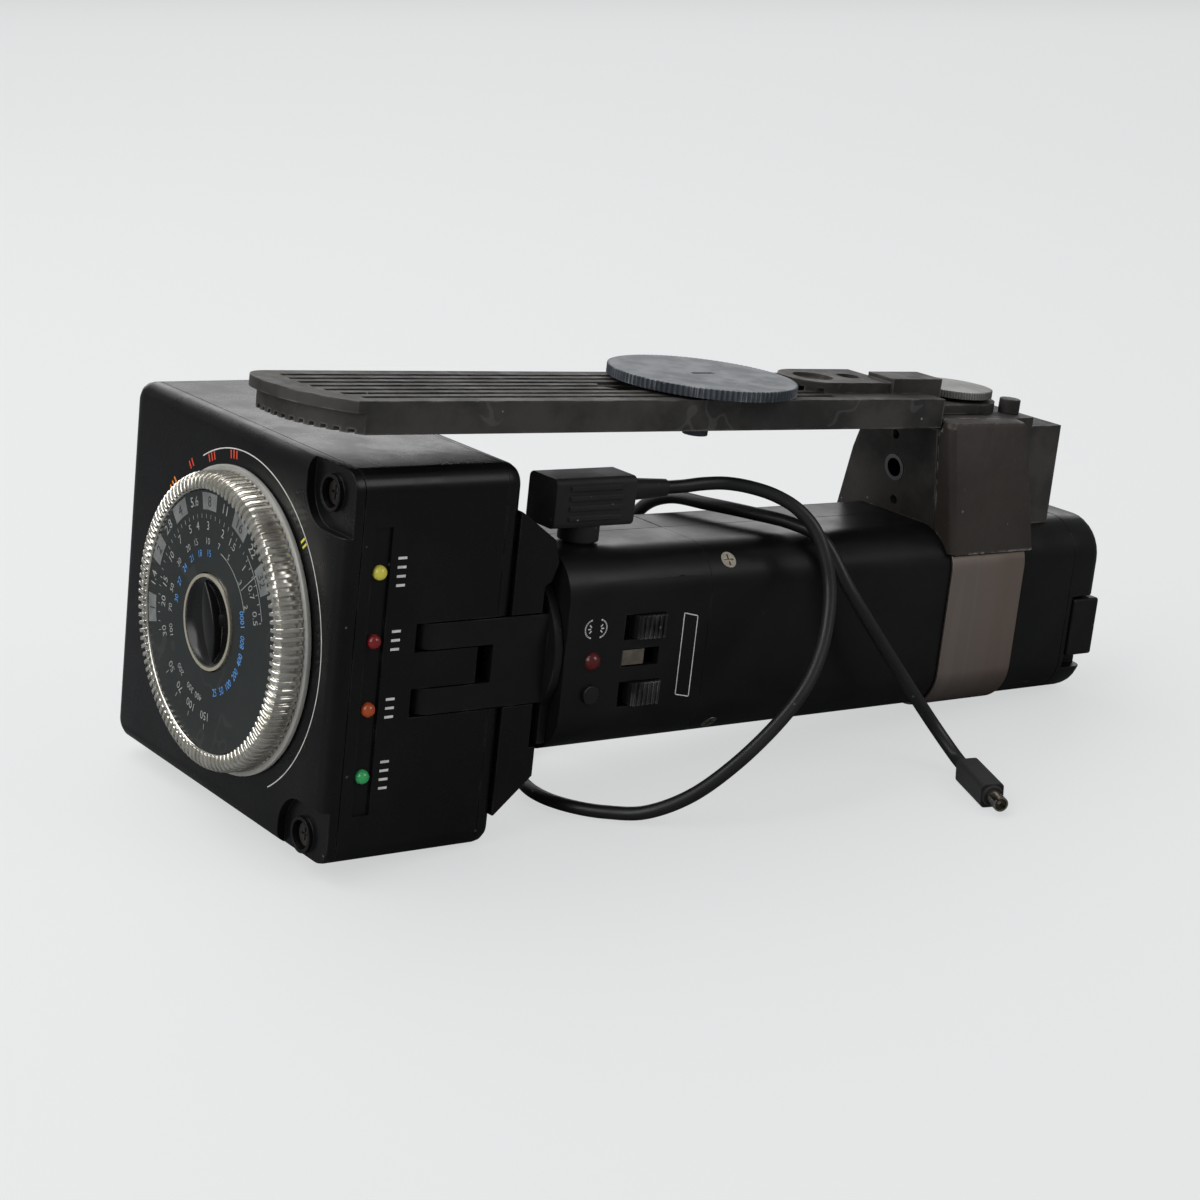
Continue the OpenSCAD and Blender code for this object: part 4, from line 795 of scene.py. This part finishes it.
# The film speed knob: a turned bowl with a lens-shaped finger grip across it
speedKnob = {
    "bowl": ((-3.3, 0.4), (-3.3, 10.5), (-7.0, 10.5), (-7.1, 10.35), (-7.0, 10.1), (-6.4, 9.7), (-5.5, 8.2),
             (-4.9, 6.0), (-4.6, 3.0), (-4.55, 0.4), (-3.3, 0.4)),
    "bowlSteps": 72,
    "grip": {"half": 9.75, "bulge": 2.7, "turn": -18.0, "low": -4.3, "high": -6.95, "steps": 14,
             "edge": 0.45},
}


def makeSpeedKnob(knob):
    bowl = turnProfile(knob["bowl"], dial["d"], dial["u"], knob["bowlSteps"])
    leaveEdit()
    grip = knob["grip"]
    radius = (grip["half"] ** 2 + grip["bulge"] ** 2) / 2 / grip["bulge"]
    turn = radians(grip["turn"])
    aside = Vector((0, cos(turn), sin(turn))) * (radius - grip["bulge"])
    middle = Vector((0, dial["d"], dial["u"]))
    tip = Vector((grip["low"], dial["d"], dial["u"])) + Vector((0, -sin(turn), cos(turn))) * grip["half"]
    blade = startPoint(tip)
    for side in (-1, 1):
        bpy.ops.mesh.spin(steps=grip["steps"], angle=2 * asin(grip["half"] / radius),
                          center=(middle + aside * side) * mm, axis=(1, 0, 0))
    bpy.ops.mesh.select_all(action="SELECT")
    bpy.ops.mesh.remove_doubles(threshold=mm * weldGap["grip"])
    bpy.ops.mesh.edge_face_add()
    bpy.ops.mesh.extrude_region_move(
        TRANSFORM_OT_translate={"value": ((grip["high"] - grip["low"]) * mm, 0, 0)})
    bpy.ops.mesh.select_all(action="SELECT")
    bpy.ops.mesh.normals_make_consistent(inside=False)
    leaveEdit()
    bevelPiece(blade, grip["edge"], segments=3, turn=50.0)
    piece = joinPieces([bowl, blade])
    layPiece(piece, "speedKnob", "knob", "knobBlack", turn=40.0)
    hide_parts("film_knob")


makeSpeedKnob(speedKnob)
print("speed knob made")

# The dial's figures. Angles are clock angles in degrees, and radii and heights are millimetres.
scales = {
    "openings": ("1", "1.4", "2", "2.8", "4", "5.6", "8", "11", "16", "22", "32"),
    "openingStart": -98.5, "openingStep": 15.35, "openingRadius": 28.3, "openingHigh": 2.3,
    "boxed": ("1", "2", "4", "8", "16", "32"), "boxedHigh": 2.5, "boxedLift": 0.04,
    "box": {"low": 26.3, "high": 30.3, "half": 6.9, "steps": 8},
    "turn": -8.0, "perDouble": 31.0,  # a distance twice as short stands this much further round
    "distances": (
        # figures, the one at turn, height, radius
        ((150, 100, 70, 50, 30, 20, 15, 10, 7, 5, 4, 3, 2, 1.5, 1, 0.7, 0.5), 3, 2.0, 22.6),
        ((400, 300, 200, 100, 70, 50, 30, 20, 15, 10, 7, 5, 3, 2), 10, 1.55, 19.0),
    ),
    "blueRows": (
        # figures with their angles, height, share of the usual width, radius, tops towards the middle
        (((15, -6), (18, -22), (21, -38), (24, -53), (27, -69), (30, -85)), 1.6, 0.9, 16.2, False),
        (((1000, 72), (800, 90.5), (400, 106), (200, 121), (100, 135.5), (50, 149), (25, 161)),
         1.8, 0.82, 16.5, True),
    ),
    # Width, height, radius and angles of the strokes
    "ticks": (0.16, 1.0, 24.8, range(-110, 80, 5)),
    "farTicks": (0.2, 1.3, 25.2, (150, 100, 70, 50)),  # these stand at their distances
    "index": (0.22, 11.5, 24.0, (51,)),
    # Radii, start, sweep and steps
    "arcs": ((17.7, 17.9, 12, 55, 24), (25.5, 25.68, 38, 36, 16)),
}


def makeScales(look):
    face, box = dial["face"], look["box"]
    light, dark, boxes, blue = [], [], [], []

    def distanceAngle(value, first):
        return look["turn"] + look["perDouble"] * log2(first / value)

    def ticks(wide, high, radius, angles):
        return addStrokes(wide, high, [clockPlace(face, angle, radius) for angle in angles])

    for i, figure in enumerate(look["openings"]):
        angle = look["openingStart"] + look["openingStep"] * i
        if figure in look["boxed"]:
            edge = angle - box["half"]
            boxes.append(addArc(face, box["low"], box["high"], edge, 2 * box["half"], box["steps"]))
            place = clockPlace(face - look["boxedLift"], angle, look["openingRadius"])
            dark.append(addFigure(figure, look["boxedHigh"], place))
        else:
            place = clockPlace(face, angle, look["openingRadius"])
            light.append(addFigure(figure, look["openingHigh"], place))
    for values, first, high, radius in look["distances"]:
        for value in values:
            light.append(addFigure("%g" % value, high, clockPlace(face, distanceAngle(value, first), radius)))
    for row, high, wide, radius, inward in look["blueRows"]:
        for value, angle in row:
            blue.append(addFigure("%d" % value, high, clockPlace(face, angle, radius, inward), wide))
    light += ticks(*look["ticks"])
    wide, high, radius, values = look["farTicks"]
    light += ticks(wide, high, radius, [distanceAngle(value, look["distances"][0][1]) for value in values])
    light += [addArc(face, *arc) for arc in look["arcs"]]
    light += ticks(*look["index"])
    layPiece(joinPieces(light), "dialFigures", "dial", "scalePrint")
    layPiece(joinPieces(dark), "boxFigures", "dial", "darkPrint")
    layPiece(joinPieces(boxes), "dialBoxes", "dial", "greyPrint")
    layPiece(joinPieces(blue), "blueFigures", "dial", "bluePrint")


makeScales(scales)
print("scales printed")

# Thin arc and stroke marks on the head's face, and the groups of strokes beside its lamps
headMarks = {
    "arc": (40.15, 40.42, -30, 178, 90),  # radii, start, sweep and steps
    # Tone, clock angle, radius and strokes of each mark
    "marks": (("greenPrint", -68, 43.0, 2), ("orangePrint", -54, 42.0, 3), ("redPrint", -39, 40.8, 2),
              ("redPrint", -24, 39.0, 3), ("redPrint", -8, 38.9, 3), ("yellowPrint", 48, 38.9, 2)),
    "stroke": (0.55, 2.0), "strokeTurn": 2.0,
    # Height and strokes of each group beside the lamps
    "lamps": ((69.1, 4), (53.2, 3), (37.3, 3), (21.4, 4)),
    "lampStart": 14.2, "lampStroke": (2.3, 0.6), "lampStep": 2.1,
}


# Where the copies of a stroke stand to either side of their middle
def spread(count, step):
    return [step * (i - (count - 1) / 2) for i in range(count)]


def makeHeadMarks(look):
    white = [addArc(0.0, *look["arc"])]
    tones = {}
    for tone, angle, radius, count in look["marks"]:
        places = [clockPlace(0.0, angle + more, radius) for more in spread(count, look["strokeTurn"])]
        tones.setdefault(tone, []).extend(addStrokes(*look["stroke"], places))
    along = look["lampStart"] + look["lampStroke"][0] / 2
    for middle, count in look["lamps"]:
        places = [sidePlace(along, 0.0, middle + more) for more in spread(count, look["lampStep"])]
        white += addStrokes(*look["lampStroke"], places)
    layPiece(joinPieces(white), "headMarks", "head", "whitePrint")
    for tone, pieces in tones.items():
        layPiece(joinPieces(pieces), tone.replace("Print", "Marks"), "head", tone)


makeHeadMarks(headMarks)
print("head marks printed")

# Marks on the control side: a small sun of strokes between two bows, and a bare slanted frame
gripMarks = {
    "face": -4.3, "sun": (68.0, 53.0), "half": 0.9,
    "rounds": (
        # radius, stroke, its own turn, angles
        (2.2, (0.35, 0.75), 90, range(20, 161, 14)),
        (1.0, (0.3, 0.8), 0, (45, 90, 135)),
    ),
    "frame": ((94.2, 34.5), (98.4, 33.6), (98.4, 54.0), (94.2, 55.0)), "line": 0.25,
}


def makeGripMarks(look):
    face, line = look["face"], look["line"]
    a, u = look["sun"]
    white = []
    for side in (-1, 1):
        for radius, stroke, turn, angles in look["rounds"]:
            white += addStrokes(*stroke, [
                sidePlace(a + side * (look["half"] + radius * sin(radians(t))), face,
                          u + radius * cos(radians(t)), turn - side * t) for t in angles])
    corners = look["frame"]
    for p, q in zip(corners, corners[1:] + corners[:1]):
        along = Vector((q[0] - p[0], q[1] - p[1]))
        place = sidePlace((p[0] + q[0]) / 2, face, (p[1] + q[1]) / 2, atan2(along.y, along.x) * 180 / pi)
        white += addStrokes(along.length + line, line, [place])
    layPiece(joinPieces(white), "gripMarks", "handle", "whitePrint")


makeGripMarks(gripMarks)
print("grip marks printed")


# Floor, backdrop and lights
stageLook = {
    "floor": (0.62, 0.63, 0.63), "floorSeen": (0.1, 0.105, 0.11), "floorRough": 0.6, "size": 12.0,
    "backdrop": (0.8, 0.81, 0.815), "even": 0.72,
    "sky": (0.86, 0.87, 0.88), "fill": 0.42, "skySeen": 0.2, "skyPale": 0.93,
    "lamps": (
        # place, aimed at, size, watts
        ((-0.3, 0.5, 1.15), (0.0, 0.0, 0.05), (1.5, 0.9), 15.0),
        ((-1.2, -0.1, 0.75), (-0.1, 0.0, 0.05), (0.9, 0.9), 7.0),
        ((0.6, -1.0, 0.9), (0.0, 0.0, 0.05), (0.7, 0.7), 4.0),
        ((0.9, 1.7, 0.62), (0.0, 0.0, 0.05), (2.6, 0.7), 9.0),
    ),
}


# Reflections see a dark floor, and the camera an even pale one with soft shadows
def makeFloor(look):
    bpy.ops.mesh.primitive_plane_add(size=look["size"], location=(0, 0, 0))
    floor = bpy.context.object
    floor.name = "paleFloor"
    material = bpy.data.materials.new("paleFloor")
    material.use_nodes = True
    tree = material.node_tree
    shader = tree.nodes["Principled BSDF"]
    shader.inputs["Roughness"].default_value = look["floorRough"]
    rays = addNode(tree, "ShaderNodeLightPath")
    tone = mixTone(tree, rays.outputs["Is Glossy Ray"], look["floor"], look["floorSeen"])
    tree.links.new(tone, shader.inputs["Base Color"])
    plain = addNode(tree, "ShaderNodeEmission", [("Color", (*look["backdrop"], 1))])
    share = scaled(tree, rays.outputs["Is Camera Ray"], look["even"])
    mix = addNode(tree, "ShaderNodeMixShader", [(0, share), (1, shader.outputs[0]), (2, plain.outputs[0])])
    tree.links.new(mix.outputs[0], tree.nodes["Material Output"].inputs["Surface"])
    floor.data.materials.append(material)
    pickNothing()


# The camera sees a pale room, reflections a dim one, and all else the light that fills the shadows
def makeRoom(look):
    world = bpy.data.worlds.new("paleRoom")
    bpy.context.scene.world = world
    world.use_nodes = True
    tree = world.node_tree
    room = tree.nodes["Background"]
    room.inputs["Color"].default_value = (*look["sky"], 1)
    rays = addNode(tree, "ShaderNodeLightPath")
    level = addNode(tree, "ShaderNodeMapRange", [("Value", rays.outputs["Is Glossy Ray"]),
                                                 ("To Min", look["fill"]), ("To Max", look["skySeen"])])
    pale = scaled(tree, rays.outputs["Is Camera Ray"], look["skyPale"])
    most = addNode(tree, "ShaderNodeMath", [(0, level.outputs["Result"]), (1, pale)], operation="MAXIMUM")
    tree.links.new(most.outputs[0], room.inputs["Strength"])


def makeLamps(look):
    for i, (place, aim, size, watts) in enumerate(look["lamps"]):
        bpy.ops.object.light_add(type="AREA", location=place)
        lamp = bpy.context.object
        lamp.name = "softLamp%d" % (i + 1)
        lamp.data.shape = "RECTANGLE"
        lamp.data.size, lamp.data.size_y = size
        lamp.data.energy = watts
        lamp.rotation_euler = (Vector(aim) - Vector(place)).to_track_quat("-Z", "Y").to_euler()
        pickNothing()


makeFloor(stageLook)
makeRoom(stageLook)
makeLamps(stageLook)
bpy.context.scene.view_settings.view_transform = "Standard"
print("stage set")
